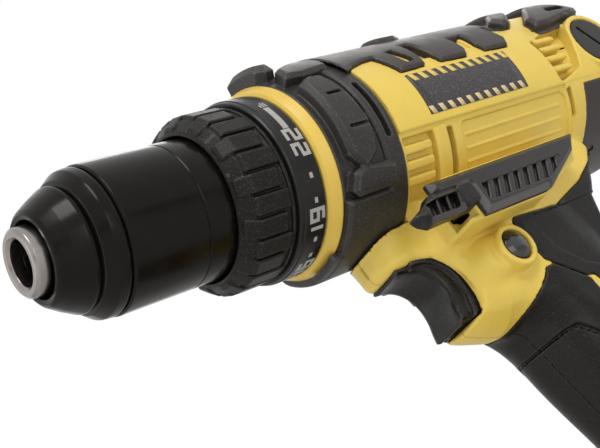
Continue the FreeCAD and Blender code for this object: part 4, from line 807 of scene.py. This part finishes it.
def barrel_part(s, y, z):
    """The barrel: the lower side, the plate that stands off it above, and the chamfered rear end."""
    ay = np.abs(y)
    r = np.hypot(y, z)
    phi = np.degrees(np.arctan2(z, ay))
    arc = np.radians(phi) * BARREL
    nose_slope = ((s - (HOUSING_END - 13)) * 9 + (r - BARREL) * 13) / math.hypot(9, 13)
    end = HOUSING_END - 0.4
    low_side = rmax(r - LOWER_SIDE, slab(s, HOUSING_FRONT, end), 0.8)
    plate = rmax(r - UPPER_SIDE, rmax(slab(s, HOUSING_FRONT - 1, end), -12.4 - arc, 0.5), 0.9)
    rear_part = rmax(r - BARREL, slab(s, 198.8, end), 0.6)
    barrel = rmin(low_side, rmin(plate, rear_part, 0.3), 0.5)
    barrel = rmax(barrel, rmax(nose_slope, HOUSING_FRONT - s, 0.5), 3)
    belly = np.where(y < 0, polygon(s, z, BELLY, 1.5), polygon(s, z, BELLY_RIGHT, 1.5))
    return rmin(barrel, rmax(belly, ay - BELLY_HALF, 1.6), 2)


def handle_part(s, ay, z):
    """The handle, which leans back and swells a little in the palm."""
    u = (s - HANDLE_FOOT[0]) * math.cos(HANDLE_LEAN) + (z - HANDLE_FOOT[1]) * math.sin(HANDLE_LEAN)
    t = (z - HANDLE_FOOT[1]) * math.cos(HANDLE_LEAN) - (s - HANDLE_FOOT[0]) * math.sin(HANDLE_LEAN)
    swell = 1.2 * np.exp(-((t - 52) / 24) ** 2)
    half_depth = HANDLE_DEPTH / 2
    handle = rect(u, ay, half_depth, 0, half_depth + swell * 0.6, HANDLE_HALF + swell, HANDLE_CORNER)
    return rmax(handle, slab(t, -6, 96), 2)


def lower_part(s, ay, z):
    """The trigger's bridge and guard, the web behind it, the handle and the foot."""
    keel = z - 0.03 * ay ** 2 * ease((146 - s) / 16)
    bridge = rmax(polygon(s, z, BRIDGE), polygon(s, keel, GUARD_LOW), 2)
    bridge = rmax(bridge, bridge_plan(s, ay, z), 3.2)
    web_half = 16.7 + np.clip((z + 76) / 31, 0, 1) * 3 - 4.5 * ease((147 - s) / 15)
    web = rmax(polygon(s, z, WEB_BODY, 3), ay - web_half, 3)
    foot = rmax(polygon(s, z, FOOT, 2), ay - FOOT_HALF - (z + 145) * 0.12, 4)
    lower = rmin(bridge, rmin(web, handle_part(s, ay, z), 5), 4)
    return rmin(lower, foot, 9)


def housing_outside(s, y, z):
    """The housing's outer surface, both halves together, before the openings."""
    ay = np.abs(y)
    body = rmin(barrel_part(s, y, z), lower_part(s, ay, z), 3)
    boss = rmax(around(s, z, BOSS) - BOSS_RADIUS, ay - 22.2, 0.7)
    flare_centre = np.hypot((s - 132.6) * 0.86, z - BOSS[1] - 0.6)
    flare = rmax(flare_centre + (ay - 15) * 0.8 - 9, ay - 19.4, 1)
    body = rmin(body, rmax(rmin(boss, flare, 1.2), 12 - ay, 0.5), 1.2)
    ring = rmax(around(s, z, BRUSH) - BRUSH_RING, ay - 34.4, 0.8)
    return rmin(body, rmax(ring, 20 - ay, 0.5), 0.8)


CLAWS = (
    [(125.1, 17.1), (127.2, 11.6), (128.4, 8), (140.2, 8.4), (141, 11.6), (141.7, 18.9), (142.5, 30),
     (124, 30)],
    [(146.2, 17.7), (146.6, 12.2), (147.9, 8.4), (160.9, 8), (162.8, 11), (162.7, 30), (146.2, 30)],
    [(170.3, 18.3), (169.6, 12.2), (171, 8.4), (183, 8), (185.4, 11.6), (184.5, 18.9), (182.8, 30),
     (170.3, 30)],
)
CLAW_WINDOW = [(131.6, 19), (135.4, 20.2), (137.6, 12.6), (137, 11), (133.6, 11)]
BAND = [(100, 12), (109, 13.4), (114, 15.9), (120, 17.7), (129, 18.6), (141, 22.4), (147, 22.4),
        (163, 19.6), (170, 19.6), (186, 22), (192, 17.4), (197, 17.4), (207, 25.4), (219, 37),
        (219, 48), (225.6, 48), (225.6, 34), (214, 25), (205, 18.2), (203.4, 12.6), (204.4, 10.8),
        (212.5, 11.3), (233, 14.5), (240, 16), (246, 24), (262, 28), (262, 90), (100, 90)]


def spine_region(s, y, z):
    """Where the black overmould lies on the barrel's top, with its claws down each side."""
    arc = side_arc(y, z, TOP_RADIUS)
    region = polygon(s, arc, BAND, 0.6)
    for claw in CLAWS:
        region = rmin(region, polygon(s, arc, claw, 0.5), 0.8)
    return region


def bumper_region(s, y, z):
    """Raised blocks on the overmould: one behind the selector, and the rear pair."""
    arc = side_arc(y, z, TOP_RADIUS)
    knob = polygon(s, arc, [(143, 33), (147, 31.5), (151, 31.5), (155, 34), (155, 42), (143, 42)], 0.8)
    front = polygon(s, arc, [(191, 23.4), (194, 18.8), (197, 18.8), (207, 27), (218, 38), (218, 60),
                              (204, 60), (203, 34)], 0.8)
    rear = polygon(s, arc, [(227, 35), (215, 25.4), (206.4, 18.4), (205, 12.8), (213, 12.8), (232, 16),
                            (239, 18), (246, 27), (246, 60), (227, 60)], 0.8)
    return union(knob, front, rear)


def rear_region(s, z):
    """The black wrap behind and below the brush caps, and the rear cap."""
    return polygon(s, z, [(209, -13.3), (246, -13.3), (246, 50), (300, 50), (300, -60), (200, -60)], 1)


WEB = [(143.8, -46.4), (143.9, -52), (145.6, -62.6), (157.2, -73), (160.6, -73.8), (163, -79),
       (186, -95), (215, -60), (215, -30), (201, -36.2), (186, -43), (167, -47.8),
       (150, -46.8)]
WEB_PANEL = [(151, -49), (153.2, -48), (166, -48.6), (200, -48.6), (200, -80), (176, -76.5),
             (161, -69), (153.4, -60.3)]
GRIP = [(104, -79.2), (117.7, -77.6), (126, -77), (133.6, -73.2), (142, -67.4), (144.2, -65),
        (147.6, -65.2), (158.2, -74.6), (158.8, -82), (170, -92), (215, -98), (215, -137), (104, -137)]


def grip_side_field(s, z):
    """Where the rubber lies on the handle and on the web behind the trigger."""
    return np.minimum(polygon(s, z, GRIP, 0.8), polygon(s, z, WEB, 0.8))


def windows_field(s, y, z):
    """The openings: trigger slot, lever window and room, selector slot, cap and plug seats, pack channel."""
    ay = np.abs(y)
    r = np.hypot(y, z)
    trigger = polygon(s, z, [(90, -44), (143, -44), (143, -66.8), (90, -66.8)])
    trigger = rmax(trigger, ay - TRIGGER_SLOT_HALF, 1)
    lever = rmax(block(s, 118.9, 121.4, z, -41.4, -34.1, 0.4), ay - 30.6, 0.2)
    room = rmax(block(s, 93, 122, z, -44.2, -33.6, 0.8), 21.4 - ay, 0.5)
    selector = rmax(rmax(slab(s, 143, 169), ay - 8.6, 0.8), 26 - z, 0.2)
    cap = rmax(around(s, z, BRUSH) - BRUSH_HOLE, 29.8 - ay, 0.1)
    plug = rmax(around(s, z, BOSS) - BOSS_HOLE, 16 - ay, 0.1)
    collar = rmax(r - (COLLAR_RADIUS + 0.5), s - (COLLAR_REAR + 0.2), 0.2)
    wide = rmax(rmax(ay - 21.9, slab(z, -160, -145.2), 0.3), slab(s, 110, 196.6), 0.3)
    wide = cut(wide, rmax(17.5 - ay, z + 149.5, 0.1), 0.3)
    return union(trigger, lever, room, selector, cap, plug, collar, wide)


def carve(body, shape, r, floor, edge):
    """Cuts a shape into the barrel's side down to a floor radius. What stands off the barrel stays."""
    return cut(body, rmax(shape, slab(r, floor, SIDE_TOP), 0.2), edge)


def side_details(body, s, y, z):
    """Fins, upright ridge, recessed panel with fine lines, louvres and rear slit on the barrel's side."""
    r = np.hypot(y, z)
    arc = side_arc(y, z, LOWER_SIDE)
    pocket = polygon(s, arc, [(113.4, -34), (113.4, -13.6), (127.8, -13.6), (127.8, -34)], 0.5)
    body = carve(body, pocket, r, 30.2, 0.4)
    for number in range(3):
        centre = -17.4 - 5 * number
        fin = rmax(rect(s, arc, 118.4, centre, 7.6, 1.5, 0.9), slab(r, 28.6, 32.9), 0.8)
        body = rmin(body, fin, 0.4)
    ridge = rmax(rect(s, arc, 130.9, -23.4, 2.7, 10.8, 1), slab(r, 30, 33.5), 0.8)
    body = rmin(body, ridge, 0.4)
    body = carve(body, rect(s, arc, 135.2, -23.6, 1.5, 9.6, 1), r, 27, 0.4)
    panel = polygon(s, arc, [(140.6, -32), (140.6, -15.4), (142.2, -13.8), (195.6, -13.8), (197.6, -16),
                             (197.6, -32)], 1)
    body = carve(body, panel, r, 32.1, 0.5)
    for number in range(3):
        line = rmax(rect(s, arc, 168, -18.2 - 4.6 * number, 26, 0.5, 0.4), slab(r, 31, 32.6), 0.35)
        body = rmin(body, line, 0.4)
    body = carve(body, rect(s, arc, 200.2, -18.6, 1, 5.4, 0.9), r, 28, 0.3)
    arc = arc * BARREL / LOWER_SIDE
    recess = polygon(s, arc, [(195.6, 7.2), (222, 14.6), (211.6, -7.6), (197.4, -11.6)], 1.5)
    body = carve(body, recess, r, 29.8, 0.6)
    for number in range(4):
        centre = -6 + 4.4 * number
        bar = rect(s + 0.5 * (arc - centre), arc, 202 + 0.7 * number, centre, 5.8, 1.15, 1.1)
        body = rmin(body, rmax(bar, slab(r, 28.8, BARREL), 0.8), 0.4)
    for front in (142, 163.6):
        scoop = polygon(s, arc, [(front, 12), (front + 5, 12), (front + 5, 38), (front - 2, 38)], 0.8)
        body = carve(body, scoop, r, 32.9, 0.6)
    return body


def housing_fields(s, y, z):
    """The yellow shell, the black overmould and the grip rubber as they lie in each other."""
    outside = housing_outside(s, y, z)
    openings = windows_field(s, y, z)
    region = spine_region(s, y, z)
    spine = cmax(outside - SPINE_RISE * (1 - 1.15 * ease((s - 186) / 6)), region, 0.7)
    bumpers = cmax(outside - BUMPER_RISE, np.maximum(bumper_region(s, y, z), region), 1.3)
    rear = rmax(outside - 0.02, rear_region(s, z), 0.6)
    black = cut(rmin(rmin(spine, bumpers, 0.4), rear, 0.3), outside + RUBBER_DEPTH, 0.2)
    arc = side_arc(y, z, TOP_RADIUS)
    window = polygon(s, arc, CLAW_WINDOW, 0.4)
    rear_window = polygon(s, arc, [(220.6, 19.4), (225, 23.6), (234, 22.8), (230.8, 19)], 0.4)
    black = cut(black, np.minimum(window, rear_window), 0.35)
    black = cut(black, openings, 0.4)
    boss_ring = 8.6 - around(s, z, BOSS)
    sides = rmax(grip_side_field(s, z), boss_ring, 0.5)
    rubber = cut(rmax(outside - GRIP_RISE, sides, 0.7), outside + RUBBER_DEPTH, 0.2)
    rubber = cut(rubber, black - 0.06, 0.3)
    rubber = cut(rubber, openings, 0.4)
    return outside, openings, black, rubber


HALF_GAP = 0.03


def left_half(body, y):
    """What lies left of the parting plane."""
    return rmax(body, y + HALF_GAP, 0.12)


def yellow_field(s, y, z):
    outside, openings, black, rubber = housing_fields(s, y, z)
    body = side_details(outside, s, y, z)
    hollow = rmax(outside + SHELL, np.minimum(np.hypot(y, z) - 29.2, z + 38), 0.5)
    body = np.maximum(body, -hollow)
    body = cut(body, np.minimum(black, rubber) - 0.05, 0.3)
    return cut(body, openings, 0.35)


def yellow_left(s, y, z):
    return left_half(yellow_field(s, y, z), y)


def yellow_right(s, y, z):
    """The right half, turned over to the left side."""
    return left_half(yellow_field(s, -y, z), y)


def spine_field(s, y, z):
    _, _, black, _ = housing_fields(s, y, z)
    return left_half(black, y)


def grip_field(s, y, z):
    """The grip rubber, with the web's inset panel and the seams."""
    outside, _, _, rubber = housing_fields(s, y, z)
    surface = outside - GRIP_RISE
    inset_panel = cut(polygon(s, z, WEB_PANEL, 0.8), surface + 0.8, 0.1)
    rubber = cut(rubber, inset_panel, 0.2)
    lower_panel = polygon(s, z, [(100, -86.2), (123.6, -85.4), (141, -84), (143.6, -84.6), (148.6, -92),
                                 (176, -105), (230, -112), (230, -134), (100, -134)], 0.8)
    rubber = cut(rubber, cut(lower_panel, surface + 0.35, 0.1), 0.25)
    seam = cut(np.abs(lower_panel) - 0.45, surface + 1, 0.1)
    rubber = cut(rubber, seam, 0.25)
    return left_half(rubber, y)


def housing():
    """The two yellow halves, which differ below the nose, and the black overmould and grip on both sides."""
    both = (axis(84, 0.62, 206, 0.7, 258), axis(-37, 0.62, 1.2), axis(-154, 1.2, -90, 0.62, 40))
    field_pair("housing_shell", (yellow_left, yellow_right), both, "yellow_shell", "housing_yellow",
               "housing")
    top = (axis(110, 0.6, 258), axis(-37, 0.6, 1.2), axis(-48, 0.6, 41))
    field_pair("overmould", (spine_field,), top, "overmould", "grip_rubber", "spine")
    side = (axis(100, 0.65, 222), axis(-36, 0.65, 1.2), axis(-138.5, 1.1, -92, 0.65, -26))
    field_pair("grip", (grip_field,), side, "grip", "grip_rubber", "grip")


# ---- side panels

RAIL = [(182.6, -30.3), (177, -36.2), (156.4, -45.4), (153.8, -45.9)]
RAIL_BAR = [(123, -45.9), (123, -36), (109.8, -35.6), (108, -33.6), (108, -30.3)]
RAIL_SHORT = [(136, -45.9), (134.5, -38), (129.5, -31.5), (129.5, -30.3)]
RIB_PITCH = 4.95


def rail_field(s, y, z, front=RAIL_BAR):
    """The bevelled rail panel, with a row of slanted ribs in its groove."""
    depth = -y
    outer = high("side_panel_right", "y") + 0.4
    outline = polygon(s, z, RAIL + front)
    plate = cmax(outline, depth - outer, 1.7)
    groove_shape = polygon(s, z, [(127, -36.6), (166.8, -36.6), (166.6, -38.6), (157, -42.6),
                                  (126, -42.6)], 0.4)
    groove = rmax(groove_shape, outer - 1.6 - depth, 0.1)
    plate = cut(plate, groove, 0.3)
    slant = s - 0.69 * (z + 39.4) - 129.9
    number = np.clip(np.round(slant / RIB_PITCH), 0, 7)
    within = rmax(groove_shape - 0.3, depth - outer + 0.3, 0.5)
    rib = rmax(np.abs(slant - number * RIB_PITCH) - 1.35, within, 0.45)
    plate = rmin(plate, rmax(rib, outline + 1, 0.2), 0.2)
    return rmax(plate, BELLY_HALF + 0.02 - depth, 0.1)


def short_rail_field(s, y, z):
    return rail_field(s, y, z, RAIL_SHORT)


def side_panels():
    """The left panel runs on as a bar over the direction lever. The right one ends at the belly's front."""
    axes = (axis(106, 0.42, 184), axis(-34.5, 0.42, -28.5), axis(-47.5, 0.42, -29))
    field_pair("rail_panel", (rail_field, short_rail_field), axes, "rail", "control_black", "side_panel")


# ---- controls

TRIGGER_FACE = curve_through([(101.6, -44.4), (105.6, -44.9), (109.8, -46.6), (112.8, -49.8), (114.1, -54),
                              (113.8, -58.6), (112.6, -62.4), (111.6, -66.2)])


def trigger_field(s, y, z):
    """The trigger: a finger face with rounded edges, and a step round its sides."""
    ay = np.abs(y)
    back = high("trigger", "s")
    outline = TRIGGER_FACE + [(back + 4, low("trigger", "z") + 0.8), (back + 4, -44.4)]
    face = rmax(polygon(s + 0.012 * ay ** 2, z, outline, 0.9), ay - TRIGGER_FACE_HALF, 2.6)
    lip = rmax(polygon(s - 4.5, z, outline, 0.8), ay - TRIGGER_HALF, 1.2)
    return np.maximum(rmin(face, lip, 0.6), s - back)


def lever_field(s, y, z):
    """The direction lever: a hollowed pad on the left side, and a bar through the housing to the right."""
    depth = -y
    outer = -low("direction_lever", "y")
    pad_shape = polygon(s, z, [(94.6, -39.2), (96.2, -41.6), (99, -43.2), (118, -42.8), (120.9, -41.4),
                               (120.9, -35.6), (119, -34.6), (104, -34.6), (101.4, -36.6)], 0.4)
    pad = cmax(pad_shape, slab(depth, outer - 7.6, outer - 0.8), 1.7)
    grip_end = rmax(rect(s, z, 117.4, -38.7, 3.5, 3.6, 1.6), slab(depth, outer - 6, outer), 0.9)
    pad = rmin(pad, grip_end, 0.4)
    slanted = s - (z + 39) * 0.4
    tray = rect(slanted, z, 106.6, -39.2, 6.4, 2.3, 0.8)
    pad = cut(pad, rmax(tray, outer - 3.6 - depth, 0.1), 0.3)
    within = rmax(tray - 0.3, slab(depth, outer - 5, outer - 1.5), 0.2)
    for station in (104.6, 109):
        pad = rmin(pad, rmax(np.abs(slanted - station) - 0.5, within, 0.3), 0.2)
    bar = rmax(rect(s, z, 120.1, -37.75, 0.85, 3.1, 0.4), slab(-depth, -outer + 5, 6), 0.3)
    return np.minimum(pad, bar)


def selector_field(s, y, z):
    """The speed selector on top, a ridged sliding knob."""
    front, back = span("speed_selector", "s")
    floor, top = span("speed_selector", "z")
    top -= 0.02
    side = polygon(s, z, [(front, 30), (front + 2.6, top), (back - 2.6, top), (back, 30), (back, floor),
                          (front, floor)], 0.5)
    knob = cmax(side, np.abs(y) - 7.8, 1.6)
    stem = rmax(block(s, front + 1, back - 1, z, floor, 34, 0.3), np.abs(y) - 4.2, 0.3)
    knob = np.maximum(knob, 34.4 - z)
    for number in range(4):
        station = front + 4.4 + 1.9 * number
        knob = cut(knob, rmax(np.abs(s - station) - 0.45, top - 0.7 - z, 0.1), 0.2)
    return np.minimum(knob, stem)


def controls():
    """The trigger, the direction lever and the speed selector."""
    trigger_axes = (axis(96.5, 0.5, high("trigger", "s") + 1), axis(-11.6, 0.5, 11.6), axis(-70.5, 0.5, -43))
    lever_axes = (axis(92.6, 0.45, 122.2), axis(-36.6, 0.45, 36.6), axis(-45, 0.45, -33))
    front, rear = span("speed_selector", "s")
    floor, top = span("speed_selector", "z")
    selector_axes = (axis(front - 1, 0.45, rear + 1), axis(-9, 0.45, 9), axis(floor - 1, 0.45, top + 1))
    for name, field, axes, body, node in (
            ("trigger_key", trigger_field, trigger_axes, "trigger_set", "trigger"),
            ("direction_key", lever_field, lever_axes, "direction_slide", "direction_lever"),
            ("speed_key", selector_field, selector_axes, "speed_slide", "speed_selector")):
        field_piece(name, field, axes, "control", body, "control_black", node)


def caps_and_plugs():
    """The slotted brush caps and the domed boss plugs on both sides."""
    reach = high("brush_caps", "y")

    def cap_field(s, y, z):
        disc = rmax(around(s, z, BRUSH) - BRUSH_HOLE + 0.25, slab(-y, 30.2, reach - 0.3), 0.7)
        slot = rect(s + 0.55 * (z - BRUSH[1]), z, *BRUSH, 0.7, 7, 0.3)
        return cut(disc, rmax(slot, reach - 1.6 + y, 0.1), 0.25)

    axes = (axis(BRUSH[0] - 11.5, 0.4, BRUSH[0] + 11.5), axis(-reach - 1, 0.4, -29.2),
            axis(BRUSH[1] - 11.5, 0.4, BRUSH[1] + 11.5))
    field_pair("brush_cap", (cap_field,), axes, "control", "control_black", "brush_caps", suffix=False)
    for word, sign in SIDES:
        out = high("boss_plugs", "y") * -sign
        lathe(f"boss_plug_{word}", [
            (out, 0.001, 0), (out + 0.12 * sign, 1.5, 0), (out + 0.6 * sign, 3.2, 1),
            (out + 1.4 * sign, 4.7, 0.6), (out + 2.2 * sign, 5.2, 0.2), (out + 5 * sign, 5.2, 0.2),
            (out + 5 * sign, 0.001, 0),
        ], "plug", "housing", "sleeve_black", "boss_plugs", segments=96, centre=BOSS)


# ---- label

LABEL_LOW, LABEL_HIGH = -9.5, 6
LABEL_FRONT, LABEL_BACK = 128.3, 178.4
LABEL_RADIUS = 34.22
LABEL_THICKNESS = 0.12
STRIPES = 11
STRIPE_LEAN = 0.35


def label_plates(name, finish_name, sign, spans, v0, v1, height, lean=0):
    """Thin plates bent round the barrel's side, from arc length v0 to v1. Each span of s leans by lean."""
    points, faces = [], []
    r = LABEL_RADIUS + height
    rows = max(2, int(v1 - v0))
    for u0, u1 in spans:
        columns = max(1, int((u1 - u0) / 3))
        base = len(points)
        for i in range(rows + 1):
            v = v0 + (v1 - v0) * i / rows
            angle = v / BARREL
            for j in range(columns + 1):
                u = u0 + (u1 - u0) * j / columns - (v - v0) * lean
                points.append((u, -sign * r * math.cos(angle), r * math.sin(angle)))
        for i in range(rows):
            for j in range(columns):
                a = base + i * (columns + 1) + j
                faces.append((a, a + 1, a + columns + 2, a + columns + 1))
    plates = new_object(name, points, faces, finish_name)
    solid = plates.modifiers.new("thickness", "SOLIDIFY")
    solid.thickness = LABEL_THICKNESS * MM
    solid.offset = 0
    settle(plates, "housing", "housing_yellow")


def label():
    """A generic plate on each side, with warning stripes along its two long edges."""
    pitch = (LABEL_BACK - LABEL_FRONT) / STRIPES
    starts = [LABEL_FRONT + pitch * k for k in range(STRIPES)]
    tops = [(start + pitch * 0.5, start + pitch) for start in starts]
    feet = [(start + pitch * 0.25, start + pitch * 0.7) for start in starts]
    for word, sign in SIDES:
        label_plates(f"label_plate_{word}", "label_dark", sign, [(LABEL_FRONT, LABEL_BACK)],
                     LABEL_LOW, LABEL_HIGH, 0.06)
        label_plates(f"label_stripes_top_{word}", "label_yellow", sign, tops,
                     LABEL_HIGH - 3, LABEL_HIGH + 0.02, 0.12, STRIPE_LEAN)
        label_plates(f"label_stripes_foot_{word}", "label_pale", sign, feet,
                     LABEL_LOW + 0.1, LABEL_LOW + 2.7, 0.12, STRIPE_LEAN)


# ---- battery

def pack_walls(s, y, z):
    """The case's upright walls, which lean out toward the top."""
    front, back = span("pack_lower_case", "s")
    lean = np.clip((z - low("pack_lower_case", "z")) / 52, 0, 1) * 2 - 2
    half = high("pack_lower_case", "y") + lean
    return rect(s, np.abs(y), (front + back) / 2, 0, (back - front) / 2 + lean, half, 9)


def pack_field(s, y, z):
    """The lower battery case: a rounded tray with upright grooves along its sides."""
    front = low("pack_lower_case", "s")
    bottom, split = span("pack_lower_case", "z")
    walls = pack_walls(s, y, z)
    body = rmax(walls, slab(z, bottom, split - 0.05), 2.2)
    sunk = rmax(-(walls + 0.8), z - split + 4, 0.3)
    for number in range(5):
        groove = rmax(np.abs(s - (front + 36 + 12 * number)) - 1.2, sunk, 0.2)
        body = cut(body, groove, 0.3)
    return cut(body, rmax(walls + 2.4, bottom + 2.4 - z, 1), 0.2)


def battery():
    front, back = span("pack_lower_case", "s")
    bottom, split = span("pack_lower_case", "z")
    half = high("pack_lower_case", "y")
    axes = (axis(front - 1, 1, back + 1), axis(-half - 1, 1, half + 1), axis(bottom - 1, 0.8, split + 1))
    field_piece("pack_tray", pack_field, axes, "pack", "battery", "pack_black", "pack_lower_case")


# ---- stage

CAMERA_PLACE = (-106.69, -221.85, -111.71)
CAMERA_TURN = (112.324, 32.356, -28.382)
LENS = 60.85
LENS_SHIFT = (0.018, -0.009)
AIM = (130, 0, -20)
LAMPS = (("key", (-0.35, -0.75, 0.95), 0.55, 8), ("fill", (-0.9, 0.2, 0.35), 0.7, 2.4),
         ("low", (-0.2, -0.7, 0.02), 0.5, 1.6), ("back", (0.8, 0.6, 0.9), 0.7, 3))
LAMP_COLOUR = (1, 0.972, 0.945)
FLOOR_HALF = 4
FLOOR_LEVEL = -0.0005


def stage():
    """Camera, floor, white surroundings and soft lamps."""
    scene = bpy.context.scene
    scene.view_settings.view_transform = "Standard"
    data = bpy.data.cameras.new("camera")
    data.sensor_width = 36
    data.lens = LENS
    data.shift_x, data.shift_y = LENS_SHIFT
    data.clip_start = 0.01
    camera = bpy.data.objects.new("camera", data)
    camera.location = spot(*CAMERA_PLACE)
    camera.rotation_euler = [math.radians(a) for a in CAMERA_TURN]
    scene.collection.objects.link(camera)
    scene.camera = camera
    mesh = bpy.data.meshes.new("floor")
    corners = [(u * FLOOR_HALF, v * FLOOR_HALF, FLOOR_LEVEL) for u, v in ((-1, -1), (1, -1), (1, 1), (-1, 1))]
    mesh.from_pydata(corners, [], [(0, 1, 2, 3)])
    floor = bpy.data.objects.new("floor", mesh)
    scene.collection.objects.link(floor)
    mesh.materials.append(finish("floor", (0.86, 0.86, 0.85), 0.7, 2, 0.02, mottle=0.01))
    surroundings(scene)
    for name, place, size, power in LAMPS:
        lamp(name, place, size, power)


def surroundings(scene):
    """A white world that is dimmer as a light than it looks to the camera and in reflections."""
    world = bpy.data.worlds.new("surroundings")
    scene.world = world
    world.use_nodes = True
    tree = world.node_tree
    plain = tree.nodes["Background"]
    plain.inputs["Color"].default_value = (1, 0.99, 0.98, 1)
    plain.inputs["Strength"].default_value = 0.45
    white = new_node(tree, "Background", Color=(1, 1, 1, 1), Strength=1)
    rays = new_node(tree, "LightPath")
    seen = (rays, "Is Camera Ray")
    for kind in ("Is Glossy Ray", "Is Transmission Ray"):
        either = new_node(tree, "Math")
        either.operation = "MAXIMUM"
        link(tree, *seen, either, 0)
        link(tree, rays, kind, either, 1)
        seen = (either, "Value")
    mix = new_node(tree, "MixShader")
    link(tree, *seen, mix, "Fac")
    link(tree, plain, "Background", mix, 1)
    link(tree, white, "Background", mix, 2)
    link(tree, mix, "Shader", tree.nodes["World Output"], "Surface")


def lamp(name, place, size, power):
    """A soft square lamp that faces the drill."""
    data = bpy.data.lights.new(name, "AREA")
    data.size = size
    data.energy = power
    data.color = LAMP_COLOUR
    obj = bpy.data.objects.new(name, data)
    obj.location = place
    obj.rotation_euler = (spot(*AIM) - Vector(place)).to_track_quat("-Z", "Y").to_euler()
    bpy.context.scene.collection.objects.link(obj)


stage()
make_finishes()
finish_cad_nodes()
chuck()
torque_setting()
trim_ring()
gear_collar()
housing()
side_panels()
controls()
caps_and_plugs()
label()
battery()
